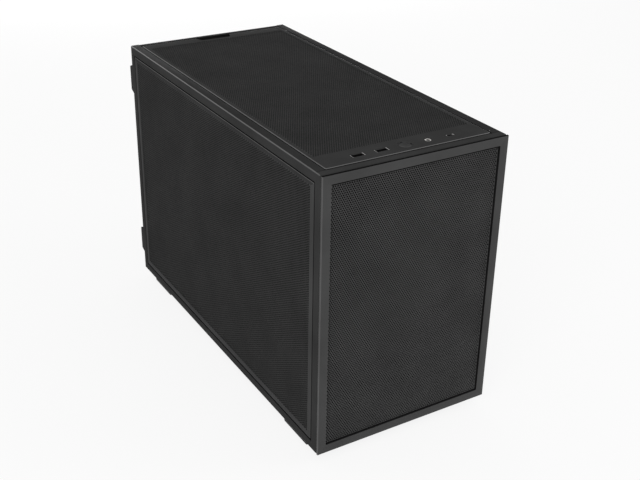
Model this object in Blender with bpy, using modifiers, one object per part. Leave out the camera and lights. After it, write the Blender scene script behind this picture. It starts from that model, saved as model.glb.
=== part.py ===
"""A micro ATX PC case: a folded steel chassis closed by perforated panels.

The case stands on its feet with its front towards -Y, its top towards +Z and
its left side towards -X. The origin is on the floor, under the middle of the
whole case. Lengths are metres.
"""

import math

import bmesh
import bpy
from mathutils import Matrix, Vector

# Overall size of the body, without its feet and what stands out at the rear
CASE_W = 0.210
CASE_D = 0.450
CASE_H = 0.304

# Sheet, folds and joints between pieces
SKIN = 0.0008
SHEET = 0.0010
FOLD_R = 0.0014
SEAM = 0.0003
GAP = 0.0012

# Front panel
FRONT_T = 0.0025
FRONT_GAP = 0.0010
FRONT_BORDER = 0.0095
FRONT_WALL_D = 0.0090
FRONT_WALL_T = 0.0020
FRONT_EDGE = 0.0006
WINDOW_R = 0.0012
MESH_RECESS = 0.0040
BOSS_W = 0.0100
BOSS_H = 0.0120
BOSS_LOW = 0.0240
BOSS_HIGH = 0.0340
PIN_R = 0.0025
PIN_TIP_R = 0.00175
PIN_L = 0.0130

# Side panels: the plain border of the frame round its window, and its lips
SIDE_FRONT = 0.0093
SIDE_REAR = 0.0071
SIDE_TOP = 0.0107
SIDE_BOTTOM = 0.0091
SIDE_LIP = 0.01015
SIDE_FRONT_LIP = 0.0070
SIDE_GAP_REAR = 0.0020
LAP = 0.0065

# Pull tabs on the rear edge of each side panel
TAB_OUT = 0.0072
TAB_BASE = 0.0360
TAB_CHAMFER = 0.0032
TAB_INSET = 0.0420

# Top panel
TOP_REAR = 0.0061
DECK_DROP = 0.0160
NOTCH_W = 0.0455
NOTCH_D = 0.0125
NOTCH_TAPER = 0.0030

# Perforated fields, drawn with fewer and larger openings than the steel has
PERF_PITCH = 0.0340
PERF_HOLE = 0.0250
PERF_MARGIN = 0.0050
PERF_START = 0.0449
PERF_END = 0.0220

# Dust filters behind the perforated fields
FILTER_T = 0.0005
FILTER_LAP = 0.0015

# Ball studs that hold the panels
STUD_BALL_R = 0.0025
STUD_NECK_R = 0.0014
STUD_BASE_R = 0.0026
STUD_BASE_T = 0.0010
STUD_INSET = 0.0450
SIDE_ROOM = 0.0050
TOP_STUD_X = 0.0045
TOP_STUD_REAR = 0.0150

# Input and output row on the top, and its circuit board
IO_X = 0.0022
IO_FROM_FRONT = 0.0279
IO_PITCH = 0.0264
IO_HOLE = 0.0003
IO_TOP = 0.0002
IO_BOARD_L = 0.1240
IO_BOARD_W = 0.0160
IO_BOARD_T = 0.0016
IO_TRAY_DROP = 0.0050
IO_TRAY_FOOT = 0.0120
USB_A_W = 0.0140
USB_A_T = 0.0064
USB_A_WALL = 0.0007
USB_A_CORNER = 0.0009
USB_A_DEPTH = 0.0130
USB_TONGUE_T = 0.0019
USB_C_W = 0.0094
USB_C_T = 0.0036
USB_C_WALL = 0.0005
USB_C_DEPTH = 0.0070
USB_C_TONGUE_W = 0.0062
USB_C_TONGUE_T = 0.0007
JACK_R = 0.0038
JACK_BORE_R = 0.00175
JACK_DEPTH = 0.0140

# Power button
BUTTON_R = 0.0067
BUTTON_SINK = 0.0006
BUTTON_CAP_H = 0.0070
BUTTON_STEM_R = 0.0020
BUTTON_TRAVEL = 0.0010
BUTTON_WALL = 0.0010
SWITCH_W = 0.0060
SWITCH_H = 0.0040

# Chassis
PAN_RISE = 0.0140
PLATE_LIP = 0.0120
PLATE_TOP_LIP = 0.0055
CROSSBAR_LEG = 0.0060
CROSSBAR_DROP = 0.0280
CROSSBAR_INSET = 0.0080
AIR_LAP = 0.0020
AIR_RIM_Z = 0.0271
AIR_CORNER = 0.0080
VENT_L = 0.0700
VENT_W = 0.0060
VENT_PITCH = 0.0130

# Feet
FOOT_H = 0.0125
FOOT_L = 0.0560
FOOT_W = 0.0160
FOOT_TAPER = 0.0050
FOOT_EDGE = 0.0010
FOOT_INSET = 0.0110
FOOT_FRONT = 0.0290
FOOT_REAR = 0.0140

# Motherboard tray and the board that it takes
TRAY_ROOM = 0.0185
TRAY_L = 0.3000
TRAY_LIP = 0.0140
BOARD = 0.2440
BOARD_T = 0.0016
BOARD_DROP = 0.0190
STANDOFF_H = 0.0065
STANDOFF_R = 0.0050
STANDOFF_TIP_R = 0.0032
STANDOFF_COLUMNS = (0.0102, 0.1651, 0.2273)
STANDOFF_ROWS = (0.0064, 0.1638, 0.2375)
CPU_HOLE_L = 0.1200
CPU_HOLE_H = 0.1000
CPU_HOLE_CORNER = 0.0080
CPU_HOLE_REAR = 0.0350
CPU_HOLE_DROP = 0.0300
CABLE_HOLE_W = 0.0240
CABLE_HOLE_H = 0.0620
CABLE_HOLE_PITCH = 0.0806

# Rear panel
SHIELD_L = 0.15875
SHIELD_W = 0.04445
SHIELD_LOW = 0.0038
SHIELD_DROP = 0.0020
SLOT_PITCH = 0.02032
SLOT_GAP = 0.0040
SLOT_W = 0.0130
SLOT_END = 0.0100
COVER_W = 0.0184
COVER_OVERLAP = 0.0040
EAR_REACH = 0.1129
EAR_OUT = 0.0107
SHELF_OUT = 0.0110
SHELF_END = 0.0030
EAR_HOLE_W = 0.0120
SCREW_R = 0.00145
SCREW_HEAD_R = 0.0037
SCREW_HEAD_T = 0.0040
SCREW_CHAMFER = 0.0006
SCREW_L = 0.0048
COVER_VENT_L = 0.0300
COVER_VENT_W = 0.0040
COVER_VENT_X = 0.0210
FAN_RIM = 0.0100
FAN_PITCH = 0.0200
FAN_CELL = 0.0084
FAN_SCREW = 0.0525
FAN_SCREW_R = 0.0022
FAN_SCREW_INSET = 0.0050
FAN_DROP = 0.0820

# Power inlet
INLET_FROM_SIDE = 0.0450
INLET_Z = 0.0280
INLET_W = 0.0274
INLET_H = 0.0199
INLET_DEPTH = 0.0180
INLET_FLANGE_W = 0.0480
INLET_FLANGE_H = 0.0225
INLET_FLANGE_T = 0.0020
SOCKET_W = 0.0240
SOCKET_H = 0.0160
SOCKET_DEPTH = 0.0150
BLADE_L = 0.0110
BLADE_W = 0.0020
BLADE_H = 0.0040
BLADE_X = 0.0070
BLADE_DROP = 0.0025

# Power supply bracket
PSU_W = 0.1500
PSU_T = 0.0860
PSU_PLAY = 0.0010
PSU_RISE = 0.0600
CRADLE_H = 0.0600
CRADLE_RIM = 0.0080

# Drive bracket
DRIVE_W = 0.1016
DRIVE_L = 0.1470
DRIVE_RISE = 0.0080
DRIVE_FRONT = 0.1900
DRIVE_RIM = 0.0160

# Top fan bracket
RACK_MARGIN = 0.0128
RACK_L = 0.2700
RACK_RISE = 0.0050
RACK_FRONT = 0.1100
RACK_SEAT = 0.0120
RACK_FAN_R = 0.0570
RACK_FAN_PITCH = 0.1250

# Places worked out from the sizes above
HALF_W = CASE_W / 2
Y_FRONT = -(CASE_D + SHELF_OUT) / 2
Y_BODY = Y_FRONT + FRONT_T + FRONT_GAP
Y_INNER = Y_BODY + SIDE_FRONT
Y_REAR = Y_FRONT + CASE_D
Y_BACK = Y_REAR - SHEET - SEAM
Z_LOW = FOOT_H
Z_TOP = Z_LOW + CASE_H
Z_PAN = Z_LOW + SKIN + SEAM
Z_FLOOR = Z_PAN + SHEET
Z_DECK = Z_TOP - DECK_DROP
Z_CEILING = Z_DECK - SHEET
CHASSIS_X = HALF_W - SIDE_ROOM
PLATE_Y = Y_INNER + SEAM
IO_Y = Y_FRONT + IO_FROM_FRONT
IO_SEAT = Z_CEILING - SEAM - IO_TRAY_DROP
BOARD_TOP_Z = IO_SEAT + SEAM + IO_BOARD_T
PORT_LOW = BOARD_TOP_Z + SEAM
PORT_HIGH = Z_TOP - IO_TOP
PANEL_X = HALF_W - SIDE_LIP - GAP
TRAY_X = CHASSIS_X - SHEET - TRAY_ROOM
BOARD_FACE_X = TRAY_X - SHEET - STANDOFF_H - BOARD_T
BOARD_Z = Z_TOP - BOARD_DROP
EAR_X = BOARD_FACE_X - EAR_REACH
INLET_X = INLET_FROM_SIDE - HALF_W
END_DROP = FOLD_R + SEAM

TURN = {
    "X": Matrix.Rotation(math.pi / 2, 4, "Y"),
    "Y": Matrix.Rotation(-math.pi / 2, 4, "X"),
    "Z": Matrix.Identity(4),
}


def clear_scene():
    for item in list(bpy.data.objects):
        bpy.data.objects.remove(item, do_unlink=True)


def new_collection(name):
    group = bpy.data.collections.new(name)
    bpy.context.scene.collection.children.link(group)
    return group


def new_material(name, colour, roughness, metallic):
    finish = bpy.data.materials.new(name)
    finish.use_nodes = True
    shader = finish.node_tree.nodes["Principled BSDF"]
    shader.inputs["Base Color"].default_value = (*colour, 1)
    shader.inputs["Roughness"].default_value = roughness
    shader.inputs["Metallic"].default_value = metallic
    finish.diffuse_color = (*colour, 1)
    return finish


clear_scene()
PARTS = new_collection("micro_atx_case")
CUTTERS = new_collection("cutters")


# Solid and sheet helpers


def add_box(bm, low, high):
    """Adds a box between two corners and returns its points."""
    low, high = Vector(low), Vector(high)
    place = Matrix.Translation((low + high) / 2) @ Matrix.Diagonal((*(high - low), 1))
    return bmesh.ops.create_cube(bm, size=1, matrix=place)["verts"]


def add_rod(bm, centre, axis, radius, length, sides=12, tip=None):
    """Adds a cylinder, or a cone with the radius tip at its far end."""
    place = Matrix.Translation(Vector(centre)) @ TURN[axis]
    end = radius if tip is None else tip
    bmesh.ops.create_cone(bm, cap_ends=True, segments=sides, radius1=radius, radius2=end,
                          depth=length, matrix=place)


def add_slot(bm, centre, axis, size, depth, sides=8):
    """Adds a bar with round ends. size is its extent along its own two local axes."""
    width = min(size)
    spin = Matrix.Rotation(math.pi / sides, 4, "Z")
    made = bmesh.ops.create_cone(bm, cap_ends=True, segments=sides, radius1=width / 2,
                                 radius2=width / 2, depth=depth, matrix=spin)["verts"]
    for point in made:
        for k in (0, 1):
            stretch = (size[k] - width) / 2
            point.co[k] += math.copysign(stretch, point.co[k])
    place = Matrix.Translation(Vector(centre)) @ TURN[axis]
    bmesh.ops.transform(bm, matrix=place, verts=made)


def add_window(bm, low, high, axis, radius, segments=2):
    """Adds a box whose edges along one axis are rounded."""
    made = add_box(bm, low, high)
    edges = {edge for point in made for edge in point.link_edges}
    along = [edge for edge in edges if abs((edge.verts[0].co - edge.verts[1].co)[axis]) > 1e-6]
    bmesh.ops.bevel(bm, geom=along, offset=radius, segments=segments, profile=0.5, affect="EDGES")


def add_sheet(bm, low, high):
    """Adds one flat rectangle, level in the axis where low and high agree."""
    low, high = Vector(low), Vector(high)
    span = high - low
    across = [Vector([span[k] if k == n else 0 for k in range(3)]) for n in range(3) if span[n] > 1e-9]
    frame = Matrix((across[0], across[1], across[0].cross(across[1]).normalized()))
    place = Matrix.Translation((low + high) / 2) @ frame.transposed().to_4x4()
    bmesh.ops.create_grid(bm, x_segments=1, y_segments=1, size=0.5, matrix=place)


def edges_at(bm, axis, value):
    """Finds the open edges whose two ends lie at one level of an axis."""
    return [edge for edge in bm.edges
            if edge.is_boundary and all(abs(point.co[axis] - value) < 1e-7 for point in edge.verts)]


def fold(bm, edges, step):
    """Folds a lip up from some open edges and returns its outer points."""
    made = bmesh.ops.extrude_edge_only(bm, edges=edges)["geom"]
    points = [item for item in made if isinstance(item, bmesh.types.BMVert)]
    bmesh.ops.translate(bm, verts=points, vec=Vector(step))
    return points


def face_out(bm, outward):
    """Turns all faces so that the largest one looks outward."""
    bmesh.ops.recalc_face_normals(bm, faces=bm.faces)
    largest = max(bm.faces, key=lambda face: face.calc_area())
    if largest.normal.dot(Vector(outward)) < 0:
        bmesh.ops.reverse_faces(bm, faces=bm.faces)


def new_part(name, bm, finish, origin=(0, 0, 0)):
    """Makes the object of one piece, with its origin at a given place."""
    origin = Vector(origin)
    bmesh.ops.translate(bm, verts=bm.verts, vec=-origin)
    mesh = bpy.data.meshes.new(name)
    bm.to_mesh(mesh)
    bm.free()
    mesh.materials.append(finish)
    part = bpy.data.objects.new(name, mesh)
    part.location = origin
    PARTS.objects.link(part)
    return part


def shape_with(part, bm, operation):
    """Cuts a part with a tool, or joins the tool to it."""
    name = f"{part.name}_{operation.lower()}_{len(part.modifiers)}"
    mesh = bpy.data.meshes.new(name)
    bm.to_mesh(mesh)
    bm.free()
    tool = bpy.data.objects.new(name, mesh)
    tool.hide_render = True
    tool.display_type = "WIRE"
    CUTTERS.objects.link(tool)
    change = part.modifiers.new(name, "BOOLEAN")
    change.operation = operation
    change.object = tool
    return tool


def give_thickness(part, thickness, radius=0.0):
    """Rounds the folds of an open sheet and gives it its thickness, inwards."""
    if radius > 0:
        bend = part.modifiers.new("fold", "BEVEL")
        bend.width = radius
        bend.segments = 2
        bend.limit_method = "ANGLE"
    wall = part.modifiers.new("wall", "SOLIDIFY")
    wall.thickness = thickness
    wall.offset = -1
    wall.use_even_offset = True
    wall.use_quality_normals = True


def round_edges(part, width, segments=2):
    edge = part.modifiers.new("edge", "BEVEL")
    edge.width = width
    edge.segments = segments
    edge.limit_method = "ANGLE"


def folded_sheet(name, finish, low, high, outward, folds, thickness, origin):
    """Makes a sheet with lips folded away from its outer face.

    folds lists (axis, level, depth) for each straight edge that is folded.
    """
    bm = bmesh.new()
    add_sheet(bm, low, high)
    inward = -Vector(outward)
    equal = {}
    for axis, level, depth in folds:
        equal.setdefault(depth, []).extend(edges_at(bm, axis, level))
    for depth, edges in equal.items():
        fold(bm, edges, inward * depth)
    face_out(bm, outward)
    part = new_part(name, bm, finish, origin)
    give_thickness(part, thickness, FOLD_R)
    return part


def shade_round(part):
    part.data.shade_smooth()
    part.data.set_sharp_from_angle(angle=math.radians(35))


def turned(name, finish, profile, origin, axis, steps=8):
    """Turns a profile of (radius, height) points, given from the top down."""
    bm = bmesh.new()
    closed = profile[0] == profile[-1]
    points = [bm.verts.new((radius, 0, height)) for radius, height in profile[closed:]]
    for start, end in zip(points, points[1:] + points[:closed]):
        bm.edges.new((start, end))
    part = new_part(name, bm, finish)
    part.location = origin
    part.rotation_euler = axis
    screw = part.modifiers.new("turn", "SCREW")
    screw.steps = steps
    screw.render_steps = steps
    screw.use_merge_vertices = True
    screw.merge_threshold = 0.00001
    screw.use_normal_calculate = False
    return part


def lattice(u_low, u_high, v_low, v_high):
    """Lists the centres of a field of openings in staggered rows."""
    row_step = PERF_PITCH * math.sqrt(3) / 2
    columns = int((u_high - u_low - PERF_HOLE) / PERF_PITCH) + 1
    rows = int((v_high - v_low - PERF_HOLE) / row_step) + 1
    u_mid = (u_low + u_high) / 2
    v_mid = (v_low + v_high) / 2
    centres = []
    for row in range(rows):
        count = columns - row % 2
        for column in range(count):
            u = u_mid + (column - (count - 1) / 2) * PERF_PITCH
            centres.append((u, v_mid + (row - (rows - 1) / 2) * row_step))
    return centres


# Side panels


def side_sheet(side):
    """Draws the outer face of a side frame with its pull tabs and lips."""
    bm = bmesh.new()
    x = side * HALF_W
    add_sheet(bm, (x, Y_BODY, Z_LOW), (x, Y_REAR, Z_TOP))
    middles = (Z_LOW + TAB_INSET, Z_TOP - TAB_INSET)
    for middle in middles:
        for level in (middle - TAB_BASE / 2, middle + TAB_BASE / 2):
            bmesh.ops.bisect_plane(bm, geom=bm.verts[:] + bm.edges[:] + bm.faces[:],
                                   plane_co=(0, 0, level), plane_no=(0, 0, 1))
    lips = edges_at(bm, 2, Z_TOP) + edges_at(bm, 2, Z_LOW) + edges_at(bm, 1, Y_BODY)
    fold(bm, lips, (-side * SIDE_LIP, 0, 0))
    for middle in middles:
        root = [edge for edge in edges_at(bm, 1, Y_REAR)
                if abs((edge.verts[0].co.z + edge.verts[1].co.z) / 2 - middle) < TAB_BASE / 4]
        for point in fold(bm, root, (0, TAB_OUT, 0)):
            point.co.z -= math.copysign(TAB_CHAMFER, point.co.z - middle)
    face_out(bm, (side, 0, 0))
    return bm


def side_window():
    """Gives the low and high corners of a side frame's window, as (y, z)."""
    low = (Y_INNER, Z_LOW + SIDE_BOTTOM)
    high = (Y_REAR - SIDE_REAR, Z_TOP - SIDE_TOP)
    return low, high


def make_side_frame(name, side, finish):
    part = new_part(name, side_sheet(side), finish, (side * HALF_W, 0, (Z_LOW + Z_TOP) / 2))
    give_thickness(part, SKIN, FOLD_R)
    low, high = side_window()
    inner = HALF_W - SIDE_LIP - SHEET
    cut = bmesh.new()
    add_window(cut, (-CASE_W, low[0], low[1]), (CASE_W, high[0], high[1]), 0, WINDOW_R)
    shape_with(part, cut, "DIFFERENCE")
    cut = bmesh.new()
    ends = sorted((side * inner, side * (HALF_W - SKIN)))
    add_box(cut, (ends[0], Y_BODY - SHEET, Z_TOP - END_DROP - SEAM),
            (ends[1], Y_INNER + SEAM, Z_TOP + SHEET))
    shape_with(part, cut, "DIFFERENCE")
    cut = bmesh.new()
    ends = sorted((side * inner, side * (HALF_W - SIDE_FRONT_LIP)))
    add_box(cut, (ends[0], Y_BODY - SHEET, Z_LOW - SHEET), (ends[1], Y_BODY + 2 * FOLD_R, Z_TOP + SHEET))
    shape_with(part, cut, "DIFFERENCE")
    return part


def side_field():
    """Gives the low and high corners of a side panel's raised field, as (y, z)."""
    low, high = side_window()
    return (low[0] + GAP, low[1] + GAP), (high[0] - SIDE_GAP_REAR, high[1] - GAP)


def make_side_mesh(name, side, finish):
    """Makes the perforated inset of a side panel: a field with a lap behind the frame."""
    low, high = side_field()
    x = side * HALF_W
    bm = bmesh.new()
    add_sheet(bm, (x, *low), (x, *high))
    centre = ((low[0] + high[0]) / 2, (low[1] + high[1]) / 2)
    rim = fold(bm, bm.edges[:], (-side * (SKIN + SEAM), 0, 0))
    outer = fold(bm, [edge for edge in bm.edges if edge.is_boundary], (0, 0, 0))
    for point in outer:
        point.co.y += math.copysign(LAP, point.co.y - centre[0])
        point.co.z += math.copysign(LAP, point.co.z - centre[1])
    face_out(bm, (side, 0, 0))
    part = new_part(name, bm, finish, (x, *centre))
    give_thickness(part, SKIN)
    cut = bmesh.new()
    spots = lattice(low[0] + PERF_MARGIN, high[0] - PERF_MARGIN, low[1] + PERF_MARGIN, high[1] - PERF_MARGIN)
    for y, z in spots:
        add_rod(cut, (x, y, z), "X", PERF_HOLE / 2, FOLD_R * 4, sides=4)
    shape_with(part, cut, "DIFFERENCE")
    return part


def make_side_filter(name, side, finish):
    """Makes the dust filter that lies in the hollow behind a side panel's field."""
    low, high = side_field()
    rim = SKIN + SEAM
    x = side * (HALF_W - rim)
    ends = sorted((x, x - side * FILTER_T))
    bm = bmesh.new()
    add_window(bm, (ends[0], low[0] + rim, low[1] + rim), (ends[1], high[0] - rim, high[1] - rim), 0, WINDOW_R)
    return new_part(name, bm, finish, (x, 0, (Z_LOW + Z_TOP) / 2))


def side_stud_levels():
    """Gives the two heights of the side panels' ball studs."""
    low, high = side_window()
    reach = (LAP - GAP) / 2
    return low[1] - reach, high[1] + reach


def stud_profile(length):
    """Draws a ball stud of a given length, ball up, from the top down."""
    ball = length - STUD_BALL_R
    points = []
    for degrees in (45, 0, -54):
        angle = math.radians(degrees)
        points.append((STUD_BALL_R * math.cos(angle), ball + STUD_BALL_R * math.sin(angle)))
    base = [(STUD_NECK_R, STUD_BASE_T), (STUD_BASE_R, STUD_BASE_T), (STUD_BASE_R, 0), (0, 0)]
    return [(0, length)] + points + base


def make_side_studs(word, side, finish):
    root = HALF_W - 2 * (SKIN + SEAM)
    length = root - (CHASSIS_X - SHEET / 2) + STUD_BALL_R + SHEET
    spin = (0, -side * math.pi / 2, 0)
    number = 1
    for y in (Y_BODY + STUD_INSET, Y_REAR - STUD_INSET):
        for z in side_stud_levels():
            turned(f"{word}_stud_{number}", finish, stud_profile(length), (side * root, y, z), spin)
            number += 1


# Top panel


def top_ends():
    return Y_INNER + GAP, Y_REAR - TOP_REAR - GAP


def top_stud_spots():
    x = PANEL_X - TOP_STUD_X
    ends = (IO_Y + IO_BOARD_W / 2 + STUD_BASE_R + 3 * SEAM, Y_REAR - TOP_STUD_REAR)
    return [(side * x, y) for y in ends for side in (-1, 1)]


def io_places():
    """Gives the middle of each of the five fittings of the row, left to right."""
    return [IO_X + (n - 2) * IO_PITCH for n in range(5)]


def add_io_holes(bm):
    usb_1, usb_2, button, jack, usb_c = io_places()
    middle = Z_TOP - SKIN / 2
    depth = 4 * SHEET
    for x in (usb_1, usb_2):
        half = (USB_A_W / 2 + IO_HOLE, USB_A_T / 2 + IO_HOLE)
        add_window(bm, (x - half[0], IO_Y - half[1], middle - depth),
                   (x + half[0], IO_Y + half[1], middle + depth), 2, USB_A_CORNER, 1)
    add_rod(bm, (button, IO_Y, middle), "Z", BUTTON_R + IO_HOLE, 2 * depth, sides=20)
    add_rod(bm, (jack, IO_Y, middle), "Z", JACK_R + IO_HOLE, 2 * depth, sides=16)
    add_slot(bm, (usb_c, IO_Y, middle), "Z", (USB_C_W + 3 * IO_HOLE, USB_C_T + 3 * IO_HOLE), 2 * depth, 12)


def make_top_panel(finish):
    y_low, y_high = top_ends()
    depth = DECK_DROP - SEAM
    folds = [(0, -PANEL_X, depth), (0, PANEL_X, depth), (1, y_low, depth), (1, y_high, depth)]
    part = folded_sheet("top_panel", finish, (-PANEL_X, y_low, Z_TOP), (PANEL_X, y_high, Z_TOP),
                        (0, 0, 1), folds, SKIN, (0, (y_low + y_high) / 2, Z_TOP))
    cut = bmesh.new()
    add_io_holes(cut)
    spots = lattice(-PANEL_X + PERF_MARGIN, PANEL_X - PERF_MARGIN, Y_FRONT + PERF_START, Y_REAR - PERF_END)
    for x, y in spots:
        add_rod(cut, (x, y, Z_TOP), "Z", PERF_HOLE / 2, FOLD_R * 4, sides=4)
    shape_with(part, cut, "DIFFERENCE")
    shape_with(part, notch_tool(y_high), "DIFFERENCE")
    return part


def make_top_filter(finish):
    """Makes the dust filter under the top panel's field, clear of the studs before and behind it."""
    half = PANEL_X - FOLD_R - SEAM
    z = Z_TOP - SKIN - SEAM
    bm = bmesh.new()
    add_window(bm, (-half, Y_FRONT + PERF_START - FILTER_LAP, z - FILTER_T),
               (half, Y_REAR - PERF_END + FILTER_LAP, z), 2, WINDOW_R)
    return new_part("top_filter", bm, finish, (0, 0, z))


def notch_tool(y_high):
    """Draws the finger slot in the rear edge, wider at the edge than inside."""
    bm = bmesh.new()
    low = (-NOTCH_W / 2, Y_REAR - TOP_REAR - NOTCH_D, Z_TOP - DECK_DROP / 2)
    high = (NOTCH_W / 2, y_high + SHEET, Z_TOP + SHEET)
    for point in add_box(bm, low, high):
        if point.co.y < y_high:
            point.co.x -= math.copysign(NOTCH_TAPER, point.co.x)
    corners = [edge for edge in bm.edges
               if all(point.co.y < y_high for point in edge.verts)
               and abs(edge.verts[0].co.z - edge.verts[1].co.z) > SHEET]
    bmesh.ops.bevel(bm, geom=corners, offset=NOTCH_TAPER, segments=2, profile=0.5, affect="EDGES")
    return bm


def make_top_studs(finish):
    root = Z_TOP - SKIN - SEAM
    length = root - (Z_DECK - SHEET / 2) + STUD_BALL_R + SHEET
    for number, (x, y) in enumerate(top_stud_spots(), start=1):
        turned(f"top_stud_{number}", finish, stud_profile(length), (x, y, root), (math.pi, 0, 0))


# Front panel


def front_window():
    """Gives the window's half width and its low and high levels."""
    return HALF_W - FRONT_BORDER, Z_LOW + FRONT_BORDER, Z_TOP - FRONT_BORDER


def boss_levels():
    return Z_LOW + BOSS_LOW, Z_TOP - BOSS_HIGH


def pin_x():
    return front_window()[0] - BOSS_W / 2


def make_front_frame(finish):
    half, z_low, z_high = front_window()
    bm = bmesh.new()
    add_box(bm, (-HALF_W, Y_FRONT, Z_LOW), (HALF_W, Y_FRONT + FRONT_T, Z_TOP))
    part = new_part("front_panel_frame", bm, finish, (0, Y_FRONT, (Z_LOW + Z_TOP) / 2))
    round_edges(part, FRONT_EDGE)
    wall = bmesh.new()
    outer = half + FRONT_WALL_T
    add_box(wall, (-outer, Y_FRONT + FRONT_T / 2, z_low - FRONT_WALL_T),
            (outer, Y_FRONT + FRONT_WALL_D, z_high + FRONT_WALL_T))
    shape_with(part, wall, "UNION")
    cut = bmesh.new()
    add_window(cut, (-half, Y_FRONT - SHEET, z_low),
               (half, Y_FRONT + FRONT_WALL_D + SHEET, z_high), 1, WINDOW_R)
    shape_with(part, cut, "DIFFERENCE")
    bosses = bmesh.new()
    pins = bmesh.new()
    start = Y_FRONT + MESH_RECESS + SKIN + 2 * SEAM + FILTER_T
    end = Y_FRONT + FRONT_WALL_D
    for side in (-1, 1):
        ends = sorted((side * (half - BOSS_W), side * (half + FRONT_WALL_T / 2)))
        for z in boss_levels():
            add_box(bosses, (ends[0], start, z - BOSS_H / 2), (ends[1], end, z + BOSS_H / 2))
            add_rod(pins, (side * pin_x(), end + PIN_L / 2 - SHEET, z), "Y", PIN_R,
                    PIN_L + 2 * SHEET, 8, PIN_TIP_R)
    shape_with(part, bosses, "UNION")
    shape_with(part, pins, "UNION")
    return part


def make_front_mesh(finish):
    half, z_low, z_high = front_window()
    bm = bmesh.new()
    y = Y_FRONT + MESH_RECESS
    x = half - SEAM
    add_window(bm, (-x, y, z_low + SEAM), (x, y + SKIN, z_high - SEAM), 1, WINDOW_R)
    part = new_part("front_mesh", bm, finish, (0, y, (z_low + z_high) / 2))
    cut = bmesh.new()
    spots = lattice(PERF_MARGIN - half, half - PERF_MARGIN, z_low + PERF_MARGIN, z_high - PERF_MARGIN)
    for u, v in spots:
        add_rod(cut, (u, y, v), "Y", PERF_HOLE / 2, FOLD_R * 4, sides=4)
    shape_with(part, cut, "DIFFERENCE")
    return part


def make_front_filter(finish):
    """Makes the dust filter behind the front's perforated sheet, before the bosses."""
    half, z_low, z_high = front_window()
    y = Y_FRONT + MESH_RECESS + SKIN + SEAM
    x = half - 2 * SEAM
    bm = bmesh.new()
    add_window(bm, (-x, y, z_low + 2 * SEAM), (x, y + FILTER_T, z_high - 2 * SEAM), 1, WINDOW_R)
    return new_part("front_filter", bm, finish, (0, y, (z_low + z_high) / 2))


# Chassis


def make_bottom_pan(finish):
    y_low = Y_INNER - SHEET
    folds = [(0, -CHASSIS_X, PAN_RISE), (0, CHASSIS_X, PAN_RISE), (1, y_low, PAN_RISE), (1, Y_BACK, PAN_RISE)]
    part = folded_sheet("bottom_pan", finish, (-CHASSIS_X, y_low, Z_PAN), (CHASSIS_X, Y_BACK, Z_PAN),
                        (0, 0, -1), folds, SHEET, (0, (y_low + Y_BACK) / 2, Z_PAN))
    cut = bmesh.new()
    add_stud_holes(cut, side_stud_levels()[0])
    middle = (y_low + Y_BACK) / 2
    for side in (-1, 1):
        for step in range(-3, 4):
            add_slot(cut, (side * (VENT_L / 2 + VENT_W), middle + step * VENT_PITCH, Z_PAN), "Z",
                     (VENT_L, VENT_W), 4 * SHEET)
    shape_with(part, cut, "DIFFERENCE")
    return part


def add_stud_holes(bm, z):
    """Adds the four holes that take one level of ball studs, two in each side wall."""
    for side in (-1, 1):
        for y in (Y_BODY + STUD_INSET, Y_REAR - STUD_INSET):
            add_rod(bm, (side * (CHASSIS_X - SHEET / 2), y, z), "X", STUD_BALL_R + SEAM, 4 * SHEET, 12)


def make_top_frame(finish):
    rise = DECK_DROP - 2 * SEAM
    folds = [(0, -CHASSIS_X, rise), (0, CHASSIS_X, rise), (1, Y_BACK, rise)]
    part = folded_sheet("top_frame", finish, (-CHASSIS_X, PLATE_Y, Z_CEILING),
                        (CHASSIS_X, Y_BACK, Z_CEILING), (0, 0, -1), folds, SHEET,
                        (0, (PLATE_Y + Y_BACK) / 2, Z_CEILING))
    cut = bmesh.new()
    add_stud_holes(cut, side_stud_levels()[1])
    for x, y in top_stud_spots():
        add_rod(cut, (x, y, Z_CEILING), "Z", STUD_BALL_R + SEAM, 4 * SHEET, 12)
    low, high = rack_opening()
    add_window(cut, (-low[0], low[1], Z_CEILING - SHEET), (low[0], high, Z_DECK + SHEET), 2, RACK_SEAT / 2)
    reach = IO_BOARD_L / 2 + IO_TRAY_DROP
    half = BUTTON_R + BUTTON_WALL + 3 * SEAM
    add_window(cut, (IO_X - reach, IO_Y - half, Z_CEILING - SHEET),
               (IO_X + reach, IO_Y + half, Z_DECK + SHEET), 2, 2 * SHEET)
    shape_with(part, cut, "DIFFERENCE")
    return part


def rack_opening():
    """Gives ((half width, low y), high y) of the deck's opening under the fan bracket."""
    y_low = Y_FRONT + RACK_FRONT
    return (rack_half() - RACK_SEAT, y_low + RACK_SEAT), y_low + RACK_L - RACK_SEAT


def rack_half():
    return PANEL_X - SKIN - RACK_MARGIN


def make_fan_rack(finish):
    y_low = Y_FRONT + RACK_FRONT
    y_high = y_low + RACK_L
    half = rack_half()
    level = Z_DECK + SEAM
    folds = [(0, -half, RACK_RISE), (0, half, RACK_RISE)]
    part = folded_sheet("top_fan_bracket", finish, (-half, y_low, level), (half, y_high, level),
                        (0, 0, -1), folds, SHEET, (0, (y_low + y_high) / 2, level))
    cut = bmesh.new()
    middle = (y_low + y_high) / 2
    for step in (-1, 1):
        y = middle + step * RACK_FAN_PITCH / 2
        add_rod(cut, (0, y, level), "Z", RACK_FAN_R, 4 * SHEET, sides=24)
        for side in (-1, 1):
            for end in (-1, 1):
                add_slot(cut, (side * FAN_SCREW, y + end * FAN_SCREW, level), "Z",
                         (4 * FAN_SCREW_R, 2 * FAN_SCREW_R), 4 * SHEET)
    shape_with(part, cut, "DIFFERENCE")
    return part


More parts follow.
